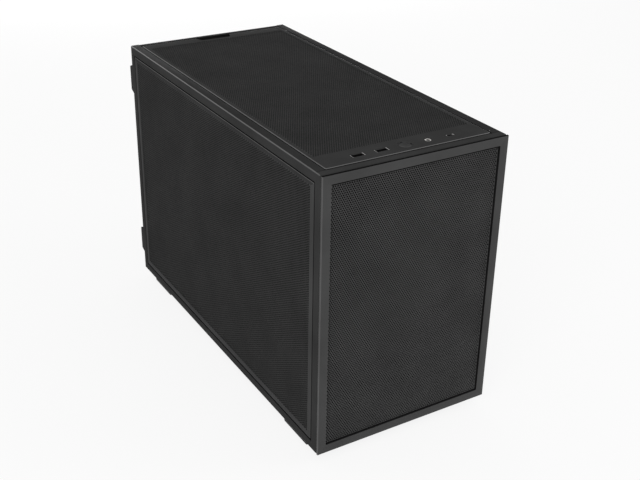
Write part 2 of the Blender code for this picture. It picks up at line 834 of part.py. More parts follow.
def make_crossbar(finish):
    x = HALF_W - SKIN - SEAM
    folds = [(1, Y_BODY, CROSSBAR_LEG), (1, Y_INNER, CROSSBAR_DROP)]
    part = folded_sheet("top_crossbar", finish, (-x, Y_BODY, Z_TOP), (x, Y_INNER, Z_TOP), (0, 0, 1),
                        folds, SKIN, (0, (Y_BODY + Y_INNER) / 2, Z_TOP))
    cut = bmesh.new()
    for side in (-1, 1):
        ends = sorted((side * (HALF_W - CROSSBAR_INSET), side * CASE_W))
        add_box(cut, (ends[0], Y_BODY - SHEET, Z_TOP - 2 * CROSSBAR_DROP),
                (ends[1], Y_INNER + SHEET, Z_TOP - END_DROP))
    shape_with(part, cut, "DIFFERENCE")
    return part


def make_front_plate(finish):
    x = CHASSIS_X - SHEET - SEAM
    z_low = Z_FLOOR + SEAM
    z_high = Z_CEILING - SEAM
    folds = [(0, -x, PLATE_LIP), (0, x, PLATE_LIP), (2, z_low, PLATE_LIP), (2, z_high, PLATE_LIP)]
    part = folded_sheet("front_plate", finish, (-x, PLATE_Y, z_low), (x, PLATE_Y, z_high), (0, -1, 0),
                        folds, SHEET, (0, PLATE_Y, (z_low + z_high) / 2))
    cut = bmesh.new()
    half = psu_half() - AIR_LAP
    add_window(cut, (-half, PLATE_Y - SHEET, z_low + AIR_RIM_Z),
               (half, PLATE_Y + 2 * SHEET, z_high - AIR_RIM_Z), 1, AIR_CORNER)
    for side in (-1, 1):
        for z in boss_levels():
            add_rod(cut, (side * pin_x(), PLATE_Y, z), "Y", PIN_R + SEAM, 4 * SHEET, 12)
    reach = x - FOLD_R - SEAM
    add_box(cut, (-reach, PLATE_Y + PLATE_TOP_LIP, z_high - 2 * SHEET),
            (reach, PLATE_Y + 2 * PLATE_LIP, z_high + SHEET))
    shape_with(part, cut, "DIFFERENCE")
    return part


def standoff_spots():
    """Gives the (y, z) of each place where the motherboard is screwed down."""
    y_rear = Y_BACK - SHEET - SEAM
    low = Z_FLOOR + STANDOFF_R + 2 * SEAM
    rows = [BOARD_Z - down for down in STANDOFF_ROWS if BOARD_Z - down > low]
    return [(y_rear - along, z) for along in STANDOFF_COLUMNS for z in rows]


def make_motherboard_tray(finish):
    y_high = Y_BACK - SHEET - SEAM
    y_low = y_high - TRAY_L
    z_low = Z_FLOOR + 2 * SEAM
    z_high = Z_CEILING - SEAM
    x = TRAY_X - SHEET
    folds = [(1, y_low, TRAY_LIP), (1, y_high, TRAY_LIP)]
    part = folded_sheet("motherboard_tray", finish, (x, y_low, z_low), (x, y_high, z_high), (-1, 0, 0),
                        folds, SHEET, (x, (y_low + y_high) / 2, (z_low + z_high) / 2))
    bosses = bmesh.new()
    for y, z in standoff_spots():
        add_rod(bosses, (x - (STANDOFF_H - SHEET / 2) / 2, y, z), "X", STANDOFF_TIP_R,
                STANDOFF_H + SHEET / 2, 8, STANDOFF_R)
    shape_with(part, bosses, "UNION")
    cut = bmesh.new()
    depth = 3 * SHEET
    cpu_y = y_high - CPU_HOLE_REAR
    cpu_z = BOARD_Z - CPU_HOLE_DROP
    add_window(cut, (x - depth, cpu_y - CPU_HOLE_L, cpu_z - CPU_HOLE_H), (x + depth, cpu_y, cpu_z), 0,
               CPU_HOLE_CORNER)
    cable_y = y_high - BOARD - CABLE_HOLE_W
    for level in cable_hole_levels():
        add_window(cut, (x - depth, cable_y - CABLE_HOLE_W / 2, level - CABLE_HOLE_H / 2),
                   (x + depth, cable_y + CABLE_HOLE_W / 2, level + CABLE_HOLE_H / 2), 0, CABLE_HOLE_W / 4)
    shape_with(part, cut, "DIFFERENCE")
    return part


def cable_hole_levels():
    """Gives the heights of the cable cut-outs: as many as the tray has room for."""
    middle = (Z_FLOOR + Z_CEILING) / 2
    count = int((Z_CEILING - Z_FLOOR) / CABLE_HOLE_PITCH)
    return [middle + (n - (count - 1) / 2) * CABLE_HOLE_PITCH for n in range(count)]


# Rear panel and expansion slots


def slot_levels():
    """Gives the heights of the expansion slots: those that the wall has room for above the inlet."""
    first = BOARD_Z - SHIELD_DROP - SHIELD_L - SLOT_GAP - SLOT_W / 2
    inlet_top = Z_LOW + INLET_Z + INLET_FLANGE_H / 2 + SEAM
    room = first - COVER_W / 2 - SHELF_END - inlet_top
    return [first - n * SLOT_PITCH for n in range(int(room / SLOT_PITCH) + 1)]


def slot_ends():
    """Gives the ends along X of an expansion slot's opening."""
    return EAR_X + SLOT_END, BOARD_FACE_X - SLOT_END


def shelf_span():
    levels = slot_levels()
    reach = COVER_W / 2 + SHELF_END
    return levels[-1] - reach, levels[0] + reach


def shield_low_x():
    """Gives the edge of the board's socket opening that faces the fan."""
    return BOARD_FACE_X + SHIELD_LOW - SHIELD_W


def fan_place():
    """Gives the middle and radius of the rear fan's vent, in the room beside the sockets."""
    left = SKIN + SEAM - HALF_W
    middle = (left + shield_low_x()) / 2
    return middle, middle - left - FAN_RIM


def add_fan_cells(bm, middle_x, middle_z, radius):
    """Adds six-sided cells in a honeycomb inside the fan's circle."""
    row_step = FAN_PITCH * math.sqrt(3) / 2
    reach = int(2 * radius / FAN_PITCH)
    for row in range(-reach, reach + 1):
        for column in range(-reach, reach + 1):
            x = (column + (row % 2) / 2) * FAN_PITCH
            z = row * row_step
            if math.hypot(x, z) + FAN_CELL < radius:
                add_rod(bm, (middle_x + x, Y_REAR, middle_z + z), "Y", FAN_CELL / math.cos(math.pi / 6),
                        4 * SHEET, sides=6)


def rear_cuts():
    bm = bmesh.new()
    y_low, y_high = Y_REAR - 3 * SHEET, Y_REAR + 2 * SHEET
    shield_x = shield_low_x()
    shield_z = BOARD_Z - SHIELD_DROP
    add_window(bm, (shield_x, y_low, shield_z - SHIELD_L), (shield_x + SHIELD_W, y_high, shield_z), 1, SHEET)
    start, end = slot_ends()
    for z in slot_levels():
        add_box(bm, (start, y_low, z - SLOT_W / 2), (end, y_high, z + SLOT_W / 2))
    low, high = shelf_span()
    add_box(bm, (EAR_X - EAR_HOLE_W, y_low, low), (EAR_X + SEAM, y_high, high))
    fan_x, radius = fan_place()
    fan_z = Z_TOP - FAN_DROP
    add_fan_cells(bm, fan_x, fan_z, radius)
    reach = radius - FAN_SCREW_INSET
    for side in (-1, 1):
        for end in (-1, 1):
            add_rod(bm, (fan_x + side * reach, Y_REAR, fan_z + end * reach), "Y", FAN_SCREW_R, 4 * SHEET, 8)
    half_w, half_h = INLET_W / 2 + SEAM, INLET_H / 2 + SEAM
    inlet_z = Z_LOW + INLET_Z
    add_box(bm, (INLET_X - half_w, y_low, inlet_z - half_h), (INLET_X + half_w, y_high, inlet_z + half_h))
    return bm


def make_rear_panel(finish):
    x = HALF_W - SKIN - SEAM
    z_low = Z_LOW + END_DROP
    part = folded_sheet("rear_panel", finish, (-x, Y_REAR, z_low), (x, Y_REAR, Z_TOP), (0, 1, 0),
                        [(2, Z_TOP, TOP_REAR)], SHEET, (0, Y_REAR, (z_low + Z_TOP) / 2))
    shape_with(part, rear_cuts(), "DIFFERENCE")
    cut = bmesh.new()
    for side in (-1, 1):
        ends = sorted((side * (HALF_W - SIDE_LIP - SEAM), side * CASE_W))
        add_box(cut, (ends[0], Y_REAR - 2 * TOP_REAR, Z_TOP - END_DROP),
                (ends[1], Y_REAR + SHEET, Z_TOP + SHEET))
    shape_with(part, cut, "DIFFERENCE")
    shelf = bmesh.new()
    low, high = shelf_span()
    x = EAR_X + 2 * SEAM
    add_box(shelf, (x, Y_REAR - SHEET / 2, low), (x + SHEET, Y_REAR + SHELF_OUT, high))
    shape_with(part, shelf, "UNION")
    holes = bmesh.new()
    for z in slot_levels():
        add_rod(holes, (EAR_X, screw_y(), z), "X", SCREW_R + SEAM, 8 * SHEET, 8)
    shape_with(part, holes, "DIFFERENCE")
    return part


def screw_y():
    return Y_REAR + EAR_OUT / 2


def make_slot_cover(number, z, finish):
    """Makes a cover whose ear passes out through the rear panel to the shelf."""
    end = slot_ends()[1] + COVER_OVERLAP
    low = (EAR_X, Y_BACK, z - COVER_W / 2)
    high = (end, Y_BACK, z + COVER_W / 2)
    bm = bmesh.new()
    add_sheet(bm, low, high)
    fold(bm, edges_at(bm, 0, EAR_X), (0, Y_REAR + EAR_OUT - Y_BACK, 0))
    face_out(bm, (0, 1, 0))
    part = new_part(f"slot_cover_{number}", bm, finish, (EAR_X, Y_BACK, z))
    give_thickness(part, SKIN)
    cut = bmesh.new()
    start, finish_x = slot_ends()
    middle = (start + finish_x) / 2
    for side in (-1, 1):
        add_slot(cut, (middle + side * COVER_VENT_X, Y_BACK, z), "Y",
                 (COVER_VENT_L, COVER_VENT_W), 4 * SHEET)
    add_rod(cut, (EAR_X, screw_y(), z), "X", SCREW_R + SEAM, 4 * SHEET, 8)
    shape_with(part, cut, "DIFFERENCE")
    return part


def make_slot_screw(number, z, finish):
    """Makes a thumbscrew whose shank runs along X through the ear and the shelf."""
    profile = [(0, SCREW_HEAD_T), (SCREW_HEAD_R - SCREW_CHAMFER, SCREW_HEAD_T),
               (SCREW_HEAD_R, SCREW_HEAD_T - SCREW_CHAMFER), (SCREW_HEAD_R, 0), (SCREW_R, 0),
               (SCREW_R, -SCREW_L), (0, -SCREW_L)]
    face = EAR_X - SKIN - SEAM
    part = turned(f"slot_screw_{number}", finish, profile, (face, screw_y(), z), (0, -math.pi / 2, 0), 10)
    shade_round(part)


# Power inlet


def make_power_inlet(finish):
    z = Z_LOW + INLET_Z
    y_face = Y_REAR + SEAM
    bm = bmesh.new()
    add_window(bm, (INLET_X - INLET_FLANGE_W / 2, y_face, z - INLET_FLANGE_H / 2),
               (INLET_X + INLET_FLANGE_W / 2, y_face + INLET_FLANGE_T, z + INLET_FLANGE_H / 2), 1,
               INLET_FLANGE_H / 5)
    part = new_part("power_inlet", bm, finish, (INLET_X, y_face, z))
    body = bmesh.new()
    add_box(body, (INLET_X - INLET_W / 2, y_face - INLET_DEPTH, z - INLET_H / 2),
            (INLET_X + INLET_W / 2, y_face + INLET_FLANGE_T / 2, z + INLET_H / 2))
    shape_with(part, body, "UNION")
    mouth = y_face + INLET_FLANGE_T
    floor = mouth - SOCKET_DEPTH
    cut = bmesh.new()
    add_window(cut, (INLET_X - SOCKET_W / 2, floor, z - SOCKET_H / 2),
               (INLET_X + SOCKET_W / 2, mouth + SHEET, z + SOCKET_H / 2), 1, SHEET, 1)
    shape_with(part, cut, "DIFFERENCE")
    blades = bmesh.new()
    for x, drop in ((-BLADE_X, BLADE_DROP), (0, -BLADE_DROP), (BLADE_X, BLADE_DROP)):
        add_box(blades, (INLET_X + x - BLADE_W / 2, floor - SHEET, z - drop - BLADE_H / 2),
                (INLET_X + x + BLADE_W / 2, floor + BLADE_L, z - drop + BLADE_H / 2))
    shape_with(part, blades, "UNION")
    return part


# Power supply bracket and drive bracket


def psu_half():
    return PSU_W / 2 + PSU_PLAY + SHEET


def make_psu_bracket(finish):
    y_low = PLATE_Y + SHEET + SEAM
    y_high = y_low + SHEET + PSU_T + 2 * PSU_PLAY
    half = psu_half()
    level = Z_LOW + PSU_RISE
    folds = [(0, -half, CRADLE_H), (0, half, CRADLE_H), (1, y_low, CRADLE_H)]
    part = folded_sheet("psu_bracket", finish, (-half, y_low, level), (half, y_high, level),
                        (0, 0, -1), folds, SHEET, (0, (y_low + y_high) / 2, level))
    cut = bmesh.new()
    rim = CRADLE_RIM
    add_window(cut, (rim - half, y_low + rim, level - SHEET), (half - rim, y_high - rim, level + 2 * SHEET),
               2, rim / 2)
    add_window(cut, (2 * rim - half, y_low - SHEET, level + rim),
               (half - 2 * rim, y_low + 2 * SHEET, level + CRADLE_H - rim), 1, rim / 2)
    shape_with(part, cut, "DIFFERENCE")
    sides = bmesh.new()
    add_window(sides, (-2 * half, y_low + 2 * rim, level + rim),
               (2 * half, y_high - 2 * rim, level + CRADLE_H - rim), 0, rim / 2)
    shape_with(part, sides, "DIFFERENCE")
    return part


def make_drive_bracket(finish):
    y_low = Y_FRONT + DRIVE_FRONT
    y_high = y_low + DRIVE_L
    half = DRIVE_W / 2
    level = Z_FLOOR + SEAM + DRIVE_RISE
    folds = [(0, -half, DRIVE_RISE), (0, half, DRIVE_RISE)]
    part = folded_sheet("drive_bracket", finish, (-half, y_low, level), (half, y_high, level),
                        (0, 0, 1), folds, SHEET, (0, (y_low + y_high) / 2, level))
    cut = bmesh.new()
    add_window(cut, (DRIVE_RIM - half, y_low + 2 * DRIVE_RIM, level - 2 * SHEET),
               (half - DRIVE_RIM, y_high - 2 * DRIVE_RIM, level + SHEET), 2, DRIVE_RIM / 2)
    for side in (-1, 1):
        for y in (y_low + DRIVE_RIM, y_high - DRIVE_RIM):
            add_slot(cut, (side * (half - DRIVE_RIM), y, level), "Z",
                     (2 * VENT_W, VENT_W), 4 * SHEET)
    shape_with(part, cut, "DIFFERENCE")
    return part


# Input and output row


def make_io_bracket(finish):
    """Makes the hat-shaped bracket that hangs the small board under the deck."""
    reach = IO_BOARD_L / 2 + 2 * SHEET
    y_low, y_high = IO_Y - IO_BOARD_W / 2, IO_Y + IO_BOARD_W / 2
    bm = bmesh.new()
    add_sheet(bm, (IO_X - reach, y_low, IO_SEAT), (IO_X + reach, y_high, IO_SEAT))
    for side in (-1, 1):
        top = fold(bm, edges_at(bm, 0, IO_X + side * reach), (0, 0, IO_TRAY_DROP))
        edge = [e for e in bm.edges if e.is_boundary and all(point in top for point in e.verts)]
        fold(bm, edge, (side * IO_TRAY_FOOT, 0, 0))
    face_out(bm, (0, 0, 1))
    part = new_part("io_bracket", bm, finish, (IO_X, IO_Y, IO_SEAT))
    give_thickness(part, SHEET)
    return part


def make_io_board(finish):
    bm = bmesh.new()
    z = IO_SEAT + SEAM
    half_l, half_w = IO_BOARD_L / 2, IO_BOARD_W / 2 - SHEET
    add_box(bm, (IO_X - half_l, IO_Y - half_w, z), (IO_X + half_l, IO_Y + half_w, z + IO_BOARD_T))
    return new_part("io_board", bm, finish, (IO_X, IO_Y, z))


def make_usb_a(number, x, steel, plastic):
    half_w, half_t = USB_A_W / 2, USB_A_T / 2
    bm = bmesh.new()
    add_window(bm, (x - half_w, IO_Y - half_t, PORT_LOW), (x + half_w, IO_Y + half_t, PORT_HIGH), 2,
               USB_A_CORNER, 1)
    shell = new_part(f"usb_a_shell_{number}", bm, steel, (x, IO_Y, PORT_HIGH))
    cut = bmesh.new()
    inner_w, inner_t = half_w - USB_A_WALL, half_t - USB_A_WALL
    add_box(cut, (x - inner_w, IO_Y - inner_t, PORT_HIGH - USB_A_DEPTH),
            (x + inner_w, IO_Y + inner_t, PORT_HIGH + SHEET))
    shape_with(shell, cut, "DIFFERENCE")
    floor = PORT_HIGH - USB_A_DEPTH + SEAM
    block = bmesh.new()
    top = PORT_HIGH - 2 * SHEET
    add_box(block, (x - inner_w + SEAM, IO_Y - inner_t + SEAM, floor),
            (x + inner_w - SEAM, IO_Y + inner_t - SEAM, top))
    tongue = new_part(f"usb_a_tongue_{number}", block, plastic, (x, IO_Y, floor))
    sides = bmesh.new()
    for side in (-1, 1):
        ends = sorted((IO_Y + side * USB_TONGUE_T / 2, IO_Y + side * USB_A_T))
        add_box(sides, (x - USB_A_W, ends[0], floor + 3 * SHEET), (x + USB_A_W, ends[1], top + SHEET))
    shape_with(tongue, sides, "DIFFERENCE")


def make_usb_c(x, finish):
    middle = (PORT_LOW + PORT_HIGH) / 2
    bm = bmesh.new()
    add_slot(bm, (x, IO_Y, middle), "Z", (USB_C_W, USB_C_T), PORT_HIGH - PORT_LOW, 12)
    part = new_part("usb_c_port", bm, finish, (x, IO_Y, PORT_HIGH))
    cut = bmesh.new()
    size = (USB_C_W - 2 * USB_C_WALL, USB_C_T - 2 * USB_C_WALL)
    add_slot(cut, (x, IO_Y, PORT_HIGH), "Z", size, 2 * USB_C_DEPTH, 12)
    shape_with(part, cut, "DIFFERENCE")
    tongue = bmesh.new()
    add_box(tongue, (x - USB_C_TONGUE_W / 2, IO_Y - USB_C_TONGUE_T / 2, PORT_HIGH - USB_C_DEPTH - SHEET),
            (x + USB_C_TONGUE_W / 2, IO_Y + USB_C_TONGUE_T / 2, PORT_HIGH - SHEET))
    shape_with(part, tongue, "UNION")


def make_audio_jack(x, finish):
    height = PORT_HIGH - PORT_LOW
    floor = height - JACK_DEPTH
    chamfer = SHEET / 2
    profile = [(0, floor), (JACK_BORE_R, floor), (JACK_BORE_R, height - chamfer),
               (JACK_BORE_R + chamfer, height), (JACK_R, height), (JACK_R, 0), (0, 0)]
    part = turned("audio_jack", finish, profile, (x, IO_Y, PORT_LOW), (0, 0, 0), 16)
    shade_round(part)


def make_power_button(x, cap_finish, housing_finish, switch_finish):
    cap_top = Z_TOP - BUTTON_SINK
    rest = PORT_LOW + SWITCH_H + BUTTON_TRAVEL + SEAM
    stem = rest - cap_top
    profile = [(0, 0), (BUTTON_R - SHEET / 2, 0), (BUTTON_R, -SHEET / 2), (BUTTON_R, -BUTTON_CAP_H),
               (BUTTON_STEM_R, -BUTTON_CAP_H), (BUTTON_STEM_R, stem), (0, stem)]
    cap = turned("power_button", cap_finish, profile, (x, IO_Y, cap_top), (0, 0, 0), 20)
    shade_round(cap)
    height = Z_TOP - SKIN - SEAM - PORT_LOW
    inner = BUTTON_R + SEAM
    outer = inner + BUTTON_WALL
    ring = [(inner, 0), (inner, height), (outer, height), (outer, 0), (inner, 0)]
    housing = turned("button_housing", housing_finish, ring, (x, IO_Y, PORT_LOW), (0, 0, 0), 20)
    shade_round(housing)
    bm = bmesh.new()
    half = SWITCH_W / 2
    add_box(bm, (x - half, IO_Y - half, PORT_LOW), (x + half, IO_Y + half, PORT_LOW + SWITCH_H))
    new_part("power_switch", bm, switch_finish, (x, IO_Y, PORT_LOW))


def make_io_row(steel, plastic, paint, board):
    usb_1, usb_2, button, jack, usb_c = io_places()
    make_io_bracket(paint)
    make_io_board(board)
    make_usb_a(1, usb_1, steel, plastic)
    make_usb_a(2, usb_2, steel, plastic)
    make_power_button(button, paint, plastic, plastic)
    make_audio_jack(jack, steel)
    make_usb_c(usb_c, steel)


# Feet


def make_foot(name, side, y_low, finish):
    x_outer = side * (HALF_W - FOOT_INSET)
    ends = sorted((x_outer, x_outer - side * FOOT_W))
    bm = bmesh.new()
    points = add_box(bm, (ends[0], y_low, 0), (ends[1], y_low + FOOT_L, Z_PAN - SEAM))
    middle = y_low + FOOT_L / 2
    for point in points:
        if point.co.z < Z_LOW / 2:
            point.co.y -= math.copysign(FOOT_TAPER, point.co.y - middle)
    part = new_part(name, bm, finish, (sum(ends) / 2, middle, 0))
    round_edges(part, FOOT_EDGE, 1)


def make_feet(finish):
    front = Y_FRONT + FOOT_FRONT
    rear = Y_REAR - FOOT_REAR - FOOT_L
    for word, side in (("left", -1), ("right", 1)):
        make_foot(f"foot_front_{word}", side, front, finish)
        make_foot(f"foot_rear_{word}", side, rear, finish)


def build():
    paint = new_material("panel_paint", (0.030, 0.030, 0.031), 0.50, 0.0)
    front = new_material("front_frame_paint", (0.055, 0.055, 0.057), 0.48, 0.0)
    chassis = new_material("chassis_paint", (0.022, 0.022, 0.023), 0.55, 0.0)
    steel = new_material("nickel_steel", (0.62, 0.61, 0.59), 0.28, 1.0)
    plastic = new_material("black_plastic", (0.012, 0.012, 0.012), 0.55, 0.0)
    board = new_material("board_lacquer", (0.010, 0.030, 0.014), 0.40, 0.0)
    rubber = new_material("foot_rubber", (0.015, 0.015, 0.015), 0.80, 0.0)

    make_bottom_pan(chassis)
    make_front_plate(chassis)
    make_top_frame(chassis)
    make_crossbar(paint)
    make_rear_panel(chassis)
    make_motherboard_tray(chassis)
    make_psu_bracket(chassis)
    make_drive_bracket(chassis)
    make_fan_rack(chassis)
    for number, z in enumerate(slot_levels(), start=1):
        make_slot_cover(number, z, chassis)
        make_slot_screw(number, z, steel)
    make_power_inlet(plastic)
    make_io_row(steel, plastic, paint, board)
    make_feet(rubber)
    for word, side in (("left", -1), ("right", 1)):
        make_side_frame(f"{word}_side_frame", side, paint)
        make_side_mesh(f"{word}_side_mesh", side, paint)
        make_side_filter(f"{word}_filter", side, plastic)
        make_side_studs(word, side, steel)
    make_top_panel(paint)
    make_top_filter(plastic)
    make_top_studs(steel)
    make_front_frame(front)
    make_front_mesh(paint)
    make_front_filter(plastic)


build()
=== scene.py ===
"""The looks of a micro ATX PC case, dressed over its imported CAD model.

Lengths are metres, in the frame of the CAD model: the front looks towards -Y, the
top towards +Z and the left side towards -X.
"""

import math

import bmesh
import bpy
import numpy as np
from mathutils import Matrix, Vector


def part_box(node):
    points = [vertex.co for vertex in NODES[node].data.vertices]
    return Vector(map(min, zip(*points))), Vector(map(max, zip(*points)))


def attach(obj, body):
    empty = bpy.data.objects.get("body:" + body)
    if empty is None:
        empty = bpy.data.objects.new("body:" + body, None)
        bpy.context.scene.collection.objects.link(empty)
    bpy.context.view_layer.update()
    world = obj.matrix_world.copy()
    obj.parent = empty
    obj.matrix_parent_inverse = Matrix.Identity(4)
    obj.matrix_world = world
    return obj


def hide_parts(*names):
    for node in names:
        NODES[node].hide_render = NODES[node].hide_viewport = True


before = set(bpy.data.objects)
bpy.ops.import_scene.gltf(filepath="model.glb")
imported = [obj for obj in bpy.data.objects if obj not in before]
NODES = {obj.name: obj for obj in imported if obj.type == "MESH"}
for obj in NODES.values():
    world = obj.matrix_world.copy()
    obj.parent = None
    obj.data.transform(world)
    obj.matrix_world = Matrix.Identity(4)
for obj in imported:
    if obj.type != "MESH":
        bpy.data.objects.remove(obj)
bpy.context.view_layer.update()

# Sheet metal
SKIN = 0.0008
SEAM = 0.0003
FOLD_R = 0.0013
FOLD_STEPS = 5
CUT_EDGE = 0.00014

EDGE_ANGLE = 50
WELD_REACH = 0.00001
CUT_REACH = 4 * SKIN

# How a round form is drawn: steps of its profile, sides, and the angle below which it looks smooth
CORNER_STEPS = 5
RING_STEPS = 4
TURNED_SIDES = 48
SMOOTH_ANGLE = 40
SMOOTH_TURNED = 35
SMOOTH_SHELL = 60

# A face counts as flat when its normal keeps this close to an axis
FLAT_NORMAL = 0.985

# Side frames. The window's borders are those of the photograph
SIDE_LIP = 0.00985
SIDE_FRONT_LIP = 0.0070
END_DROP = 0.0017
WINDOW_FRONT = 0.0093
WINDOW_REAR = 0.0085
WINDOW_TOP = 0.0098
WINDOW_BOTTOM = 0.0090
WINDOW_R = 0.0012
TAB_OUT = 0.0072
TAB_BASE = 0.0360
TAB_CHAMFER = 0.0032
TAB_INSET = 0.0420

# Side insets: the gap round them, the plain rim round the holes, and the step down to the frame's back
FIELD_GAP = 0.0019
INSET_RIM = 0.0060
INSET_RIM_TOP = 0.0038
INSET_STEP = 0.0011
INSET_FOLD = 0.0006

# Top panel
TOP_FIELD_FRONT = 0.0290
TOP_FIELD_REAR = 0.0155
TOP_FIELD_SIDE = 0.0042
TOP_FOLD_R = 0.00088
NOTCH_W = 0.0455
NOTCH_D = 0.0113
NOTCH_TAPER = 0.0030
NOTCH_DEPTH = 0.0080
NOTCH_STEPS = 6
IO_CLEAR = 0.0003

# Front panel. Its sheet lies further forward than in the CAD model, as it does in the photograph
FRONT_T = 0.0025
FRONT_BORDER = 0.0095
FRONT_EDGE = 0.0006
FRONT_EDGE_STEPS = 4
FRONT_WALL_T = 0.0020
FRONT_WALL_D = 0.0090
# The front sheet's plain rim is painted shade, wider at the top where the window's top wall shades it
FRONT_RIM = 0.0004
FRONT_RIM_TOP = 0.0020
FRONT_SHEET_RISE = 0.0016
BOSS_W = 0.0100
BOSS_H = 0.0120
BOSS_D = 0.0031
BOSS_LOW = 0.0240
BOSS_HIGH = 0.0340
PIN_R = 0.0025
PIN_TIP_R = 0.00175
PIN_SIDES = 24

# Holes: round ones in a triangular lattice, drawn with six sides
HOLE_SIDES = 6
HOLE_PITCH = 0.0025
HOLE_R = 0.00106
FRONT_HOLE_R = 0.00115
HOLE_MARGIN = 0.0002

# Ball studs and thumbscrews
STUD_BALL_R = 0.0025
STUD_NECK_R = 0.0014
STUD_BASE_R = 0.0026
STUD_BASE_T = 0.0010
STUD_STEPS = 12
STUD_SIDES = 32
SCREW_R = 0.00145
SCREW_HEAD_R = 0.0037
SCREW_HEAD_T = 0.0040
SCREW_KNURL = 0.00022
SCREW_CHAMFER = 4 * CUT_EDGE
SCREW_SIDES = 72
CROSS_L = 0.0042
CROSS_W = 0.0011
CROSS_D = 0.0016

# Feet: the part under the side panel reaches out beyond the part above it
FOOT_FLANGE = 0.0042
FOOT_FLANGE_TOP = 0.0120
FOOT_END = 0.0040
FOOT_EDGE = 0.0009
FOOT_EDGE_STEPS = 3

# Fittings on the top
USB_A_CORNER = 0.0009
SHELL_T = 0.0006
SHELL_LIP = 0.0003
# How far in from each end of a socket's lip the painted highlight reaches
SHELL_END = 0.0010
USB_C_ROUND_LEFT = SEAM / 3
USB_C_CUT_STEPS = 8
USB_C_T = 0.0006
# How far the painted highlight reaches in from each end of the USB-C socket's lip
USB_C_END = 0.0022
USB_C_WELL = 0.0050
USB_C_TONGUE = (0.0066, 0.0007, 0.0042)
JACK_R = 0.0032
JACK_BORE_R = 0.0021
JACK_LIP = 0.00025
JACK_COLLAR_H = 0.0030
JACK_LIP_STEPS = 8
ROUND_CUT_SIDES = 64
BUTTON_STEM_R = 0.0020
BUTTON_CAP_H = 0.0070
BUTTON_EDGE = 0.0006
BUTTON_EDGE_STEPS = 5
BUTTON_DISH = 0.0010
BUTTON_DISH_STEPS = 6
BUTTON_SIDES = 72
CONTACT_PITCH = 0.0023
CONTACT_W = 0.0011
CONTACT_T = 0.00012
CONTACT_L = 0.0075
CONTACT_Y = 0.00098
CONTACT_COUNT = 4

# Paint: how often its noise repeats in a metre, and how far tone and gloss wander
CLOUDS_PER_M = 22
GLOSS_PER_M = 60
PEEL_PER_M = 2600
PEEL_DEPTH = 0.00003
TONE_SPREAD = 0.12
GLOSS_SPREAD = 0.04

# Studio: how much the world lights, how white it looks, and the floor
WORLD_LIGHT = 0.55
WORLD_SEEN = 1.0
FLOOR_HALF = 6.0
FLOOR_GREY = 0.90
FLOOR_GLOW = 0.86
CASE_MIDDLE = (0, 0, 0.15)
REAR_TARGET = (0, 0, 0.2)

# The photograph's view
CAMERA_PLACE = (-0.5299, -0.92734, 0.67343)
CAMERA_RIGHT = (0.85879, -0.51209, 0.01596)
CAMERA_FORWARD = (0.46583, 0.7675, -0.4404)
CAMERA_LENS = 57.58
CAMERA_SHIFT = (0.00025, -0.0284)


# Materials


def new_material(name):
    finish = bpy.data.materials.new(name)
    finish.use_nodes = True
    return finish, finish.node_tree, finish.node_tree.nodes["Principled BSDF"]


def set_inputs(node, values):
    """Sets some of a node's inputs by their names."""
    for name, value in values.items():
        node.inputs[name].default_value = value


def add_noise(tree, scale, detail=2.0):
    """Adds noise that is laid out in the object's own metres, scale times in each."""
    place = tree.nodes.new("ShaderNodeTexCoord")
    noise = tree.nodes.new("ShaderNodeTexNoise")
    set_inputs(noise, {"Scale": scale, "Detail": detail})
    tree.links.new(place.outputs["Object"], noise.inputs["Vector"])
    return noise.outputs["Fac"]


def add_ramp(tree, source, low, high, start=0.3, end=0.7):
    """Adds a ramp from one colour or grey to another."""
    ramp = tree.nodes.new("ShaderNodeValToRGB")
    for stop, place, colour in zip(ramp.color_ramp.elements, (start, end), (low, high)):
        stop.position = place
        stop.color = (*colour, 1)
    tree.links.new(source, ramp.inputs["Fac"])
    return ramp.outputs["Color"]


def add_range(tree, source, low, high):
    """Spreads the middle of a noise over a range of values."""
    spread = tree.nodes.new("ShaderNodeMapRange")
    set_inputs(spread, {"From Min": 0.3, "From Max": 0.7, "To Min": low, "To Max": high})
    tree.links.new(source, spread.inputs["Value"])
    return spread.outputs["Result"]


def add_bump(tree, source, strength, distance):
    bump = tree.nodes.new("ShaderNodeBump")
    set_inputs(bump, {"Strength": strength, "Distance": distance})
    tree.links.new(source, bump.inputs["Height"])
    return bump.outputs["Normal"]


def add_maximum(tree, *sources):
    """Adds the largest of some values."""
    largest = sources[0]
    for source in sources[1:]:
        node = tree.nodes.new("ShaderNodeMath")
        node.operation = "MAXIMUM"
        tree.links.new(largest, node.inputs[0])
        tree.links.new(source, node.inputs[1])
        largest = node.outputs[0]
    return largest


def wire(tree, shader, colour, roughness, normal):
    """Links what a surface looks like to its shader."""
    tree.links.new(colour, shader.inputs["Base Color"])
    tree.links.new(roughness, shader.inputs["Roughness"])
    tree.links.new(normal, shader.inputs["Normal"])


def powder_coat(where, grey, roughness, shine, grain=PEEL_PER_M, depth=PEEL_DEPTH):
    """Makes baked paint: a fine orange peel, faint clouds of tone and of gloss."""
    finish, tree, shader = new_material(f"{where}_powder_coat")
    shader.inputs["Specular IOR Level"].default_value = shine
    dark = [grey * (1 - TONE_SPREAD)] * 3
    light = [grey * (1 + TONE_SPREAD)] * 3
    tone = add_ramp(tree, add_noise(tree, CLOUDS_PER_M, 4.0), dark, light)
    gloss = add_noise(tree, GLOSS_PER_M, 3.0)
    gloss = add_range(tree, gloss, roughness - GLOSS_SPREAD, roughness + GLOSS_SPREAD)
    wire(tree, shader, tone, gloss, add_bump(tree, add_noise(tree, grain), 0.35, depth))
    return finish


